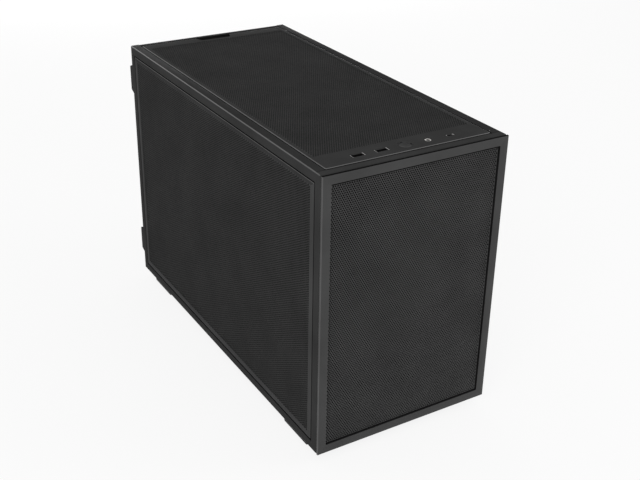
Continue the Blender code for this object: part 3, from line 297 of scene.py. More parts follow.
def plated_steel(name, colour, roughness):
    """Makes nickelled steel with faint drawing marks and spots of wear."""
    finish, tree, shader = new_material(name)
    shader.inputs["Metallic"].default_value = 1.0
    dark = [channel * 0.80 for channel in colour]
    tone = add_ramp(tree, add_noise(tree, 420, 5.0), dark, colour)
    gloss = add_range(tree, add_noise(tree, 900, 3.0), roughness, roughness + 0.15)
    wire(tree, shader, tone, gloss, add_bump(tree, add_noise(tree, 1800), 0.2, 0.00001))
    return finish


def moulded(name, colour, roughness, grain, depth):
    """Makes plastic or rubber with a moulded grain."""
    finish, tree, shader = new_material(name)
    light = [channel * 1.3 for channel in colour]
    tone = add_ramp(tree, add_noise(tree, 90, 3.0), colour, light)
    gloss = add_range(tree, add_noise(tree, 300), roughness - 0.05, roughness + 0.05)
    wire(tree, shader, tone, gloss, add_bump(tree, add_noise(tree, grain, 3.0), 0.4, depth))
    return finish


def nylon_mesh(name, colour, pitch):
    """Makes woven dust filter cloth: threads that stand out over dark gaps."""
    finish, tree, shader = new_material(name)
    shader.inputs["Specular IOR Level"].default_value = 0.1
    place = tree.nodes.new("ShaderNodeTexCoord")
    waves = []
    for way in ("X", "Y", "Z"):
        wave = tree.nodes.new("ShaderNodeTexWave")
        wave.bands_direction = way
        wave.inputs["Scale"].default_value = 0.314 / pitch
        tree.links.new(place.outputs["Object"], wave.inputs["Vector"])
        waves.append(wave.outputs["Fac"])
    weave = add_maximum(tree, *waves)
    dark = [channel * 0.3 for channel in colour]
    tone = add_ramp(tree, weave, dark, colour, 0.5, 1.0)
    gloss = add_range(tree, add_noise(tree, 300), 0.72, 0.84)
    wire(tree, shader, tone, gloss, add_bump(tree, weave, 0.4, 0.00005))
    return finish


def circuit_board(name):
    """Makes dark lacquer with lines of copper showing through it."""
    finish, tree, shader = new_material(name)
    place = tree.nodes.new("ShaderNodeTexCoord")
    lines = tree.nodes.new("ShaderNodeTexBrick")
    set_inputs(lines, {"Scale": 260, "Color1": (0.006, 0.022, 0.010, 1),
                       "Color2": (0.008, 0.030, 0.014, 1), "Mortar": (0.020, 0.060, 0.028, 1),
                       "Mortar Size": 0.03})
    tree.links.new(place.outputs["Object"], lines.inputs["Vector"])
    gloss = add_range(tree, add_noise(tree, 200), 0.30, 0.42)
    relief = add_bump(tree, lines.outputs["Fac"], 0.3, 0.00002)
    wire(tree, shader, lines.outputs["Color"], gloss, relief)
    return finish


PAINT = powder_coat("panel", 0.038, 0.58, 0.005)
# Painted highlight: a lighter copy of the panel paint for the side insets' rims, standing in for the light
# on their rounded shoulders
RIM_HIGHLIGHT_PAINT = powder_coat("rim", 0.054, 0.55, 0.01)
# Painted light: copies of the panel paint for the perforated fields, each grey set to the light on its
# field, the top's darker than the sides'
FIELD_PAINT = powder_coat("field", 0.054, 0.58, 0.005)
TOP_FIELD_PAINT = powder_coat("top_field", 0.049, 0.58, 0.005)
# Painted shade: a darker copy of the panel paint for the side frames' upward faces, which get less light
# than the sides
LIP_SHADE_PAINT = powder_coat("lip", 0.03, 0.65, 0.005)
BUTTON_PAINT = powder_coat("button", 0.033, 0.50, 0.05)
# Painted light: lighter, glossier copies of the panel paint for the front frame and its field, for the
# stronger light on the front
FRONT_PAINT = powder_coat("front", 0.048, 0.52, 0.12)
FRONT_FIELD_PAINT = powder_coat("front_field", 0.061, 0.52, 0.10)
# Painted highlight for rounded folds: a lighter, shinier copy of the panel paint
FOLD_HIGHLIGHT_PAINT = powder_coat("fold", 0.068, 0.40, 0.45)
# Painted shade: near-black paint put in gaps, recesses and the insides of sockets, where shade falls
SHADE_PAINT = powder_coat("painted_shade", 0.004, 0.80, 0.02)
# Painted shade: dark paint for the walls inside the front window
WALL_SHADE_PAINT = powder_coat("window_wall_shade", 0.01, 0.75, 0.02)
CHASSIS_PAINT = powder_coat("chassis", 0.02, 0.65, 0.03, 2200, 0.00004)
STEEL = plated_steel("nickelled_steel", (0.60, 0.585, 0.56), 0.24)
# Painted highlight: brighter steel for the glints at the two ends of a socket's lip
GLINT_STEEL = plated_steel("socket_glint_steel", (0.42, 0.415, 0.41), 0.30)
DARK_STEEL = plated_steel("black_nickelled_steel", (0.045, 0.045, 0.045), 0.34)
GOLD = plated_steel("gilt_contacts", (0.83, 0.60, 0.22), 0.20)
PLASTIC = moulded("black_plastic", (0.010, 0.010, 0.011), 0.50, 1500, 0.00003)
RUBBER = moulded("foot_rubber", (0.014, 0.014, 0.014), 0.78, 900, 0.00006)
FILTER = nylon_mesh("filter_nylon", (0.0040, 0.0040, 0.0041), 0.0004)
BOARD = circuit_board("board_lacquer")

# What the CAD pieces that stay are made of, by a word in their names. The others have the chassis paint
NODE_FINISHES = {"filter": FILTER, "usb_a_tongue": PLASTIC, "power_inlet": PLASTIC, "power_switch": PLASTIC,
                 "button_housing": PLASTIC, "io_board": BOARD, "crossbar": PAINT, "io_bracket": PAINT}


# Shape helpers


def add_box(bm, low, high):
    """Adds a box between two corners and returns its points."""
    low, high = Vector(low), Vector(high)
    place = Matrix.Translation((low + high) / 2) @ Matrix.Diagonal((*(high - low), 1))
    return bmesh.ops.create_cube(bm, size=1, matrix=place)["verts"]


def edges_of(points):
    """Lists the edges at some points, each once."""
    return list(dict.fromkeys(edge for point in points for edge in point.link_edges))


def add_window(bm, low, high, axis, radius, segments=4):
    """Adds a box whose edges along one axis are rounded."""
    made = add_box(bm, low, high)
    along = [edge for edge in edges_of(made)
             if abs((edge.verts[0].co - edge.verts[1].co)[axis]) > 1e-6]
    bmesh.ops.bevel(bm, geom=along, offset=radius, segments=segments, profile=0.5, affect="EDGES")


def add_rod(bm, centre, axis, radius, length, sides, tip=None):
    """Adds a cylinder along Y or Z, or a cone with the radius tip at its far end."""
    turn = Matrix.Rotation(-math.pi / 2, 4, "X") if axis == "Y" else Matrix.Identity(4)
    end = radius if tip is None else tip
    bmesh.ops.create_cone(bm, cap_ends=True, segments=sides, radius1=radius, radius2=end, depth=length,
                          matrix=Matrix.Translation(Vector(centre)) @ turn)


def new_piece(name, bm, finish):
    """Makes an object at the frame's origin from a finished bmesh."""
    mesh = bpy.data.meshes.new(name)
    bm.to_mesh(mesh)
    bm.free()
    return link_mesh(name, mesh, finish)


def link_mesh(name, mesh, finish):
    """Makes an object at the frame's origin from a mesh."""
    mesh.materials.append(finish)
    return add_object(name, mesh)


def add_object(name, data):
    """Adds a mesh, a lamp or a camera to the scene."""
    made = bpy.data.objects.new(name, data)
    bpy.context.scene.collection.objects.link(made)
    return made


def cut_with(piece, bm, operation="DIFFERENCE"):
    """Cuts a piece with a tool, or joins the tool to it, and keeps the result."""
    tool = new_piece(piece.name + "_tool", bm, piece.data.materials[0])
    change = piece.modifiers.new("cut", "BOOLEAN")
    change.operation = operation
    change.object = tool
    keep_shape(piece)
    bpy.data.objects.remove(tool, do_unlink=True)


def keep_shape(piece):
    """Replaces a piece's mesh by what its modifiers make of it."""
    graph = bpy.context.evaluated_depsgraph_get()
    mesh = bpy.data.meshes.new_from_object(piece.evaluated_get(graph))
    piece.modifiers.clear()
    piece.data = mesh


def give_thickness(piece, thickness, radius):
    """Rounds the folds of an open sheet and gives it its thickness, inwards."""
    if radius > 0:
        bend = piece.modifiers.new("fold", "BEVEL")
        bend.width = radius
        bend.segments = FOLD_STEPS
        bend.limit_method = "ANGLE"
    wall = piece.modifiers.new("wall", "SOLIDIFY")
    wall.thickness = thickness
    wall.offset = -1
    wall.use_even_offset = True
    wall.use_quality_normals = True
    keep_shape(piece)


def ease_edges(piece, width=CUT_EDGE, segments=2):
    """Takes the sharpness off a piece's cut edges and shades its round ones smooth."""
    add_edge_bevel(piece, width, segments)
    keep_shape(piece)
    shade_round(piece)


def add_edge_bevel(piece, width, segments):
    edge = piece.modifiers.new("edge", "BEVEL")
    edge.width = width
    edge.segments = segments
    edge.limit_method = "ANGLE"
    edge.angle_limit = math.radians(EDGE_ANGLE)


def paint_fold_highlights(piece, along=None):
    """Paints a highlight on a piece's rounded folds, in a lighter and shinier copy of the panel paint.

    With along, an axis, only the folds that run along that axis are painted so.
    """
    def on_fold(middle, normal):
        round_face = max(abs(part) for part in normal) < FLAT_NORMAL
        return round_face and (along is None or abs(normal[along]) < 1 - FLAT_NORMAL)

    paint_where(piece, FOLD_HIGHLIGHT_PAINT, on_fold)


def paint_where(piece, finish, chosen):
    """Gives another finish to the faces that are chosen by their middle and their normal."""
    piece.data.materials.append(finish)
    last = len(piece.data.materials) - 1
    for face in piece.data.polygons:
        if chosen(face.center, face.normal):
            face.material_index = last


def turned(name, finish, profile, place, towards, sides=TURNED_SIDES, knurl=0.0):
    """Turns a profile of (radius, height) points round an axis.

    A third value marks the rings that are knurled.
    """
    bm = bmesh.new()
    rings = []
    for radius, height, *mark in profile:
        count = 1 if radius == 0 else sides
        ring = []
        for n in range(count):
            reach = radius - knurl * (n % 2) * bool(mark)
            angle = 2 * math.pi * n / sides
            ring.append(bm.verts.new((reach * math.cos(angle), reach * math.sin(angle), height)))
        rings.append(ring)
    for lower, upper in zip(rings, rings[1:]):
        for n in range(sides):
            after = n + 1
            corners = (lower[n % len(lower)], lower[after % len(lower)],
                       upper[after % len(upper)], upper[n % len(upper)])
            corners = list(dict.fromkeys(corners))
            if len(corners) > 2:
                bm.faces.new(corners)
    bmesh.ops.recalc_face_normals(bm, faces=bm.faces)
    turn = Vector((0, 0, 1)).rotation_difference(Vector(towards)).to_matrix().to_4x4()
    bmesh.ops.transform(bm, matrix=Matrix.Translation(Vector(place)) @ turn, verts=bm.verts)
    piece = new_piece(name, bm, finish)
    shade_round(piece, SMOOTH_TURNED)
    return piece


def shade_round(piece, angle=SMOOTH_ANGLE):
    piece.data.shade_smooth()
    piece.data.set_sharp_from_angle(angle=math.radians(angle))


def arc(first, last, steps):
    """Lists evenly spaced angles in radians, between two that are given in degrees."""
    return [math.radians(first + (last - first) * n / steps) for n in range(steps + 1)]


def add_sheet(bm, low, high):
    """Adds one flat rectangle, level in the axis where low and high agree."""
    low, high = Vector(low), Vector(high)
    span = high - low
    across = [Vector([span[k] if k == n else 0 for k in range(3)]) for n in range(3) if span[n] > 1e-9]
    turn = Matrix((across[0], across[1], across[0].cross(across[1]).normalized()))
    place = Matrix.Translation((low + high) / 2) @ turn.transposed().to_4x4()
    bmesh.ops.create_grid(bm, x_segments=1, y_segments=1, size=0.5, matrix=place)


def edges_at(bm, axis, value):
    """Finds the open edges whose two ends lie at one level of an axis."""
    return [edge for edge in bm.edges
            if edge.is_boundary and all(abs(point.co[axis] - value) < 1e-7 for point in edge.verts)]


def fold(bm, edges, step):
    """Folds a lip up from some open edges and returns its outer points."""
    made = bmesh.ops.extrude_edge_only(bm, edges=edges)["geom"]
    points = [item for item in made if isinstance(item, bmesh.types.BMVert)]
    bmesh.ops.translate(bm, verts=points, vec=Vector(step))
    return points


def face_out(bm, outward):
    """Turns all faces so that the largest one looks outward."""
    bmesh.ops.recalc_face_normals(bm, faces=bm.faces)
    largest = max(bm.faces, key=lambda face: face.calc_area())
    if largest.normal.dot(Vector(outward)) < 0:
        bmesh.ops.reverse_faces(bm, faces=bm.faces)


def ring_points(low, high, radius):
    """Lists the points of a rectangle with round corners, counterclockwise from its lower right corner."""
    points = []
    corners = ((high[0], low[1]), (high[0], high[1]), (low[0], high[1]), (low[0], low[1]))
    for quarter, (u, v) in enumerate(corners):
        mid_u = u - math.copysign(radius, u - (low[0] + high[0]) / 2)
        mid_v = v - math.copysign(radius, v - (low[1] + high[1]) / 2)
        for angle in arc(90 * (quarter - 1), 90 * quarter, CORNER_STEPS):
            points.append((mid_u + radius * math.cos(angle), mid_v + radius * math.sin(angle)))
    return points


def loft_rings(plane, rings, capped=False):
    """Joins rings of points into one sheet. plane(u, v, depth) puts a point in space.

    rings lists (low, high, radius, depth), from the innermost ring outwards.
    """
    bm = bmesh.new()
    loops = []
    for low, high, radius, depth in rings:
        loops.append([bm.verts.new(plane(u, v, depth)) for u, v in ring_points(low, high, radius)])
    for inner, outer in zip(loops, loops[1:]):
        for n in range(len(inner)):
            after = (n + 1) % len(inner)
            bm.faces.new((outer[n], outer[after], inner[after], inner[n]))
    if capped:
        bm.faces.new(loops[0])
    return bm


def grown(low, high, amount):
    """Moves a rectangle's or a box's two corners outwards in their first two axes."""
    return (low[0] - amount, low[1] - amount), (high[0] + amount, high[1] + amount)


def fold_rings(low, high, corner, fold_r, depth, lap=None):
    """Lists the rings of a round fold at a rectangle's edge and a straight drop.

    With lap, two corners, the sheet turns outwards again at the bottom and ends there.
    """
    rings = []
    for angle in arc(0, 90, RING_STEPS):
        out = fold_r * (math.sin(angle) - 1)
        rings.append((*grown(low, high, out), corner + out, fold_r * (1 - math.cos(angle))))
    if lap:
        foot = min(fold_r, depth - fold_r)
        for angle in arc(0, 90, RING_STEPS):
            out = foot * (1 - math.cos(angle))
            rings.append((*grown(low, high, out), corner + out, depth - foot * (1 - math.sin(angle))))
        rings.append((*lap, corner, depth))
    else:
        rings.append((low, high, corner, depth))
    return rings


# Perforated fields


def hole_lattice(size_u, size_v, radius):
    """Works out how many holes fit, and stretches their lattice a little to fill the sheet."""
    start = HOLE_MARGIN + radius
    columns = round((size_u - 2 * start) / HOLE_PITCH + 0.5)
    rows = round((size_v - 2 * start) / (HOLE_PITCH * math.sqrt(3) / 2)) + 1
    step_u = (size_u - 2 * start) / (columns - 0.5)
    step_v = (size_v - 2 * start) / (rows - 1)
    return columns, rows, start, step_u, step_v


def hole_corners(columns, rows, start, step_u, step_v, radius):
    """Lists the corners of every hole as (u, v). Corner k of a hole is at 30 + 60 k degrees."""
    r, c = np.meshgrid(np.arange(rows), np.arange(columns), indexing="ij")
    angles = np.radians(30 + 60 * np.arange(HOLE_SIDES))
    u = (start + (c + (r % 2) / 2) * step_u)[..., None] + radius * np.cos(angles)
    v = (start + r * step_v)[..., None] + radius * np.sin(angles)
    return np.stack((u.ravel(), v.ravel()), axis=1)


def lattice_faces(columns, rows):
    """Lists the faces between the holes."""
    row, column = np.meshgrid(np.arange(rows), np.arange(columns), indexing="ij")
    quads, triangles = [], []

    def add(group, chosen, *corners):
        """Adds a face by each chosen hole. A corner is (rows up, columns along, number) from there."""
        r, c = row[chosen], column[chosen]
        group.append([((r + up) * columns + c + along) * HOLE_SIDES + k for up, along, k in corners])

    inner = column < columns - 1
    add(quads, inner, (0, 0, 5), (0, 1, 3), (0, 1, 2), (0, 0, 0))
    for odd in (0, 1):
        below = (row % 2 == odd) & (row < rows - 1)
        add(quads, below & (column + odd < columns), (0, 0, 0), (1, odd, 4), (1, odd, 3), (0, 0, 1))
        add(quads, below & (column + odd > 0), (0, 0, 1), (1, odd - 1, 5), (1, odd - 1, 4), (0, 0, 2))
        add(triangles, below & inner, (0, 0, 0), (0, 1, 2), (1, odd, 4))
        add(triangles, below & inner, (1, 0, 5), (0, 1 - odd, 1), (1, 1, 3))
    faces = []
    for group in quads + triangles:
        faces.extend(np.stack(group, axis=1).tolist())
    return faces


def border_chains(columns, rows):
    """Lists the outermost hole corners along each of the four sides."""
    def corner(row, column, k):
        return (row * columns + column) * HOLE_SIDES + k

    last_c, last_r = columns - 1, rows - 1
    bottom = [corner(0, c, k) for c in range(columns) for k in (3, 4, 5)]
    top = [corner(last_r, c, k) for c in range(columns) for k in (2, 1, 0)]
    left, right = [], []
    for r in range(rows):
        first = [4] if r > 0 else []
        last = [1] if r < last_r else []
        outer_left, outer_right = r % 2 == 0, r % 2 == 1
        left += [corner(r, 0, k) for k in ((first + [3, 2] + last) if outer_left else [3, 2])]
        right += [corner(r, last_c, k) for k in ((first + [5, 0] + last) if outer_right else [5, 0])]
    return bottom, top, left, right


def add_border(points, faces, size, chains):
    """Joins the outermost hole corners to the sheet's four straight sides."""
    bottom, top, left, right = chains

    def project(chain, place):
        first = len(points)
        points.extend([place(points[n]) for n in chain])
        return list(range(first, first + len(chain)))

    low = project(bottom, lambda p: [p[0], 0.0])
    high = project(top, lambda p: [p[0], size[1]])
    near = project(left, lambda p: [0.0, p[1]])
    far = project(right, lambda p: [size[0], p[1]])
    for n in range(len(bottom) - 1):
        faces.append((low[n], low[n + 1], bottom[n + 1], bottom[n]))
        faces.append((top[n], top[n + 1], high[n + 1], high[n]))
    for n in range(len(left) - 1):
        faces.append((near[n + 1], near[n], left[n], left[n + 1]))
    for n in range(len(right) - 1):
        faces.append((right[n + 1], right[n], far[n], far[n + 1]))
    first = len(points)
    points.extend([[0.0, 0.0], [size[0], 0.0], [size[0], size[1]], [0.0, size[1]]])
    faces.append((first, low[0], bottom[0], near[0]))
    faces.append((low[-1], first + 1, far[0], bottom[-1]))
    faces.append((top[-1], far[-1], first + 2, high[-1]))
    faces.append((near[-1], top[0], high[0], first + 3))


def add_hole_walls(points, faces, count, inward):
    """Gives every hole its sides. The first points, count of them, are the holes' corners."""
    rim = len(points)
    points.extend([points[n] + inward for n in range(count)])
    for hole in range(0, count, HOLE_SIDES):
        for k in range(HOLE_SIDES):
            after = (k + 1) % HOLE_SIDES
            faces.append((hole + k, hole + after, rim + hole + after, rim + hole + k))


def perforated(name, origin, u_way, v_way, size, finish, radius=HOLE_R, wall=0.0):
    """Makes a flat sheet with round holes. Its corner is at origin and its rows run along u_way.

    The sheet looks towards u_way x v_way. With a wall, each hole has sides that deep.
    """
    columns, rows, *steps = hole_lattice(*size, radius)
    points = hole_corners(columns, rows, *steps, radius).tolist()
    count = len(points)
    faces = lattice_faces(columns, rows)
    add_border(points, faces, size, border_chains(columns, rows))
    base, across, along = Vector(origin), Vector(u_way), Vector(v_way)
    solid = [base + across * p[0] + along * p[1] for p in points]
    if wall:
        add_hole_walls(solid, faces, count, -across.cross(along) * wall)
    mesh = bpy.data.meshes.new(name)
    mesh.from_pydata(solid, [], faces)
    return link_mesh(name, mesh, finish)


# Side panels


def side_faces(side):
    """Gives a side's word, its outer level, and the corners of its window and field as (y, z)."""
    word = "left" if side < 0 else "right"
    low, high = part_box(f"{word}_side_frame")
    window_low = (low.y + WINDOW_FRONT, low.z + WINDOW_BOTTOM)
    window_high = (high.y - TAB_OUT - WINDOW_REAR, high.z - WINDOW_TOP)
    field = grown(window_low, window_high, -FIELD_GAP)
    return word, side * max(abs(low.x), abs(high.x)), (window_low, window_high), field


def side_frame(side):
    """Makes a side panel's frame: one folded sheet with a window and two pull tabs."""
    word, x, window, _ = side_faces(side)
    low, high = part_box(f"{word}_side_frame")
    piece = new_piece(f"{word}_frame", frame_sheet(side, x, low, high), PAINT)
    give_thickness(piece, SKIN, FOLD_R)
    cut = bmesh.new()
    add_window(cut, (-2 * abs(x), *window[0]), (2 * abs(x), *window[1]), 0, WINDOW_R)
    cut_with(piece, cut)
    cut_with(piece, lip_trim(side, abs(x), low, high, window[0][0]))
    ease_edges(piece)
    # Painted highlight on the folds that run front to back
    paint_fold_highlights(piece, 1)
    # Painted shade on the frame's upward faces
    paint_where(piece, LIP_SHADE_PAINT, lambda middle, normal: normal.z > FLAT_NORMAL)
    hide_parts(f"{word}_side_frame")
    return piece


def frame_sheet(side, x, low, high):
    """Draws the frame's sheet without its thickness: the flat, three lips and the tabs."""
    y_rear = high.y - TAB_OUT
    bm = bmesh.new()
    add_sheet(bm, (x, low.y, low.z), (x, y_rear, high.z))
    middles = (low.z + TAB_INSET, high.z - TAB_INSET)
    for middle in middles:
        for level in (middle - TAB_BASE / 2, middle + TAB_BASE / 2):
            bmesh.ops.bisect_plane(bm, geom=bm.verts[:] + bm.edges[:] + bm.faces[:],
                                   plane_co=(0, 0, level), plane_no=(0, 0, 1))
    fold(bm, edges_at(bm, 2, high.z) + edges_at(bm, 2, low.z) + edges_at(bm, 1, low.y),
         (-side * SIDE_LIP, 0, 0))
    for middle in middles:
        root = [edge for edge in edges_at(bm, 1, y_rear)
                if abs((edge.verts[0].co.z + edge.verts[1].co.z) / 2 - middle) < TAB_BASE / 4]
        for point in fold(bm, root, (0, TAB_OUT, 0)):
            point.co.z -= math.copysign(TAB_CHAMFER, point.co.z - middle)
    face_out(bm, (side, 0, 0))
    return bm


def lip_trim(side, x, low, high, y_inner):
    """Draws what the frame's lips leave free: the crossbar's place and the front corner."""
    bm = bmesh.new()
    inner = x - SIDE_LIP - SKIN
    ends = sorted((side * inner, side * (x - SKIN)))
    add_box(bm, (ends[0], low.y - SKIN, high.z - END_DROP - SEAM), (ends[1], y_inner + SEAM, high.z + SKIN))
    ends = sorted((side * inner, side * (x - SIDE_FRONT_LIP)))
    add_box(bm, (ends[0], low.y - SKIN, low.z - SKIN),
            (ends[1], low.y + 2 * FOLD_R, high.z - END_DROP - 2 * SEAM))
    return bm


def side_inset(side):
    """Makes a side panel's perforated inset: a field of holes in a rim that steps behind the frame."""
    word, x, _, (low, high) = side_faces(side)
    rim_low, rim_high = grown(low, high, -INSET_RIM)
    rim_high = (rim_high[0], high[1] - INSET_RIM_TOP)

    def plane(u, v, depth):
        return x - side * depth, (u if side < 0 else -u), v

    rim = side_rim(f"{word}_inset_rim", plane, side, (low, high), (rim_low, rim_high))
    size = (rim_high[1] - rim_low[1], rim_high[0] - rim_low[0])
    start = rim_low[0] if side < 0 else rim_high[0]
    # The side field takes its own lit copy of the panel paint, as painted light
    field = perforated(f"{word}_inset_field", (x, start, rim_low[1]), (0, 0, 1), (0, -side, 0), size,
                       FIELD_PAINT)
    for piece in (rim, field):
        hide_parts(f"{word}_side_mesh")
    return rim, field


def side_rim(name, plane, side, outer, inner):
    """Lofts the plain rim round a field of holes, with its step and its lap behind the frame."""
    def mirrored(low, high):
        if side < 0:
            return low, high
        return (-high[0], low[1]), (-low[0], high[1])

    lap_low, lap_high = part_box("left_side_mesh" if side < 0 else "right_side_mesh")
    lap = mirrored((lap_low.y, lap_low.z), (lap_high.y, lap_high.z))
    rings = [(*mirrored(*inner), SEAM, 0.0)]
    rings += fold_rings(*mirrored(*outer), WINDOW_R, INSET_FOLD, INSET_STEP, lap)
    bm = loft_rings(plane, rings)
    face_out(bm, (side, 0, 0))
    # The rim takes a lighter copy of the panel paint as a painted highlight
    piece = new_piece(name, bm, RIM_HIGHLIGHT_PAINT)
    give_thickness(piece, SKIN, 0)
    shade_round(piece)
    top = inner[1][1]
    level = abs(plane(0, 0, INSET_FOLD)[0])
    # Above the field the rim keeps the plain panel paint, without the painted highlight
    paint_where(piece, PAINT, lambda middle, normal: middle.z > top)
    # Painted highlight on the rim's folds that face upward
    paint_where(piece, FOLD_HIGHLIGHT_PAINT, lambda middle, normal: FLAT_NORMAL > normal.z > 0.2)
    # Painted shade on the rim's step and lap, which sink behind the frame's edge
    paint_where(piece, SHADE_PAINT, lambda middle, normal: abs(middle.x) < level)
    return piece


# Top panel


def add_io_holes(bm, z):
    """Adds the cuts for the sockets, the button and the jack."""
    for node in ("usb_a_shell_1", "usb_a_shell_2"):
        low, high = grown(*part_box(node), IO_CLEAR)
        add_window(bm, (*low, z - CUT_REACH), (*high, z + CUT_REACH), 2, USB_A_CORNER)
    for node, radius in (("power_button", None), ("audio_jack", JACK_R + IO_CLEAR)):
        low, high = grown(*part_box(node), IO_CLEAR)
        middle = ((low[0] + high[0]) / 2, (low[1] + high[1]) / 2, z)
        add_rod(bm, middle, "Z", radius or (high[0] - low[0]) / 2, 2 * CUT_REACH, ROUND_CUT_SIDES)
    low, high = grown(*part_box("usb_c_port"), IO_CLEAR)
    radius = (high[1] - low[1]) / 2 - USB_C_ROUND_LEFT
    add_window(bm, (*low, z - CUT_REACH), (*high, z + CUT_REACH), 2, radius, USB_C_CUT_STEPS)


def add_notch(bm, y_high, z):
    """Adds the finger slot in the rear edge, wider at the edge than inside."""
    low = (-NOTCH_W / 2, y_high - NOTCH_D, z - NOTCH_DEPTH)
    high = (NOTCH_W / 2, y_high + SKIN, z + SKIN)
    made = add_box(bm, low, high)
    inner = [point for point in made if point.co.y < y_high]
    for point in inner:
        point.co.x -= math.copysign(NOTCH_TAPER, point.co.x)
    corners = [edge for edge in edges_of(inner)
               if all(point.co.y < y_high for point in edge.verts)
               and abs(edge.verts[0].co.z - edge.verts[1].co.z) > SKIN]
    bmesh.ops.bevel(bm, geom=corners, offset=NOTCH_TAPER, segments=NOTCH_STEPS, profile=0.5,
                    affect="EDGES")


def top_cover():
    """Makes the top panel: a folded plate with holes for the fittings, and a field of holes."""
    low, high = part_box("top_panel")
    z = high.z
    depth = high.z - low.z
    rings = fold_rings((low.x, low.y), (high.x, high.y), FOLD_R, TOP_FOLD_R, depth)

    def plane(u, v, drop):
        return u, v, z - drop

    plate = new_piece("top_plate", loft_rings(plane, rings, capped=True), PAINT)
    give_thickness(plate, SKIN, 0)
    field_low = (low.x + TOP_FIELD_SIDE, low.y + TOP_FIELD_FRONT)
    field_high = (high.x - TOP_FIELD_SIDE, high.y - TOP_FIELD_REAR)
    cut = bmesh.new()
    add_box(cut, (*field_low, z - 2 * SKIN), (*field_high, z + 2 * SKIN))
    add_io_holes(cut, z)
    cut_with(plate, cut)
    notch = bmesh.new()
    add_notch(notch, high.y, z)
    cut_with(plate, notch)
    shade_round(plate)
    # Painted highlight on the plate's rounded folds
    paint_fold_highlights(plate)
    # Painted shade on the plate's lower fold and skirt, in the gap beside the side frames
    level = z - 0.6 * TOP_FOLD_R
    paint_where(plate, SHADE_PAINT, lambda middle, normal: middle.z < level)
    size = (field_high[0] - field_low[0], field_high[1] - field_low[1])
    # The top field takes its own copy of the panel paint, set darker than the side fields' as painted shade
    field = perforated("top_field", (*field_low, z), (1, 0, 0), (0, 1, 0), size, TOP_FIELD_PAINT)
    for piece in (plate, field):
        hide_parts("top_panel")
    return plate, field


# Front panel


def front_frame():
    """Makes the front panel's frame, with walls behind its window."""
    low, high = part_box("front_panel_frame")
    half = high.x - FRONT_BORDER
    z_low, z_high = low.z + FRONT_BORDER, high.z - FRONT_BORDER
    bm = bmesh.new()
    add_box(bm, low, (high.x, low.y + FRONT_T, high.z))
    # The front frame takes the lighter copy of the panel paint, as painted light
    piece = new_piece("front_frame", bm, FRONT_PAINT)
    ease_edges(piece, FRONT_EDGE, FRONT_EDGE_STEPS)
    wall = bmesh.new()
    outer = half + FRONT_WALL_T
    add_box(wall, (-outer, low.y + FRONT_T / 2, z_low - FRONT_WALL_T),
            (outer, low.y + FRONT_WALL_D, z_high + FRONT_WALL_T))
    cut_with(piece, wall, "UNION")
    cut = bmesh.new()
    add_window(cut, (-half, low.y - SKIN, z_low), (half, high.y + SKIN, z_high), 1, WINDOW_R)
    cut_with(piece, cut)
    cut_with(piece, front_bosses(half, low, high), "UNION")
    ease_edges(piece, 2 * CUT_EDGE)
    # Painted highlight on the frame's rounded edges that run up and down
    paint_fold_highlights(piece, 2)

    def in_window(middle, normal):
        inside = abs(middle.x) < half + SEAM and z_low - SEAM < middle.z < z_high + SEAM
        return inside and abs(normal.y) < 0.5

    # Painted shade on the window's inner walls
    paint_where(piece, WALL_SHADE_PAINT, in_window)
    # Painted shade on the frame's top faces, as the dark gap line under the top
    paint_where(piece, SHADE_PAINT, lambda middle, normal: normal.z > 0.5 and middle.z > z_high)
    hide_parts("front_panel_frame")
    return piece


def front_bosses(half, low, high):
    """Draws the bosses behind the window's edges and the push pins on them."""
    bm = bmesh.new()
    end = low.y + FRONT_WALL_D
    for side in (-1, 1):
        ends = sorted((side * (half - BOSS_W), side * (half + FRONT_WALL_T / 2)))
        for z in (low.z + BOSS_LOW, high.z - BOSS_HIGH):
            add_box(bm, (ends[0], end - BOSS_D, z - BOSS_H / 2), (ends[1], end, z + BOSS_H / 2))
            length = high.y - end + SKIN
            middle = (side * (half - BOSS_W / 2), high.y - length / 2, z)
            add_rod(bm, middle, "Y", PIN_R, length, PIN_SIDES, PIN_TIP_R)
    return bm


def front_inset():
    """Makes the front's perforated sheet, with a plain rim round its holes that is painted shade."""
    low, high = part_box("front_mesh")
    y = low.y - FRONT_SHEET_RISE

    def plane(u, v, depth):
        return u, y + depth, v

    field_low = (low.x + FRONT_RIM, low.z + FRONT_RIM)
    field_high = (high.x - FRONT_RIM, high.z - FRONT_RIM_TOP)
    rings = [(field_low, field_high, SEAM, 0.0), ((low.x, low.z), (high.x, high.z), WINDOW_R, 0.0)]
    bm = loft_rings(plane, rings)
    face_out(bm, (0, -1, 0))
    # The plain rim is painted shade, as the shadow at the window's edges
    rim = new_piece("front_inset_rim", bm, SHADE_PAINT)
    give_thickness(rim, SKIN, 0)
    size = (field_high[0] - field_low[0], field_high[1] - field_low[1])
    # The front field takes its own lighter copy of the panel paint, as painted light
    field = perforated("front_inset_field", (field_low[0], y, field_low[1]), (1, 0, 0), (0, 0, 1), size,
                       FRONT_FIELD_PAINT, FRONT_HOLE_R, SKIN)
    for piece in (rim, field):
        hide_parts("front_mesh")
    return rim, field


# Fittings


def middle_of(node):
    """Gives the middle of a node's box and its two corners."""
    low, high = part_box(node)
    return (low + high) / 2, low, high


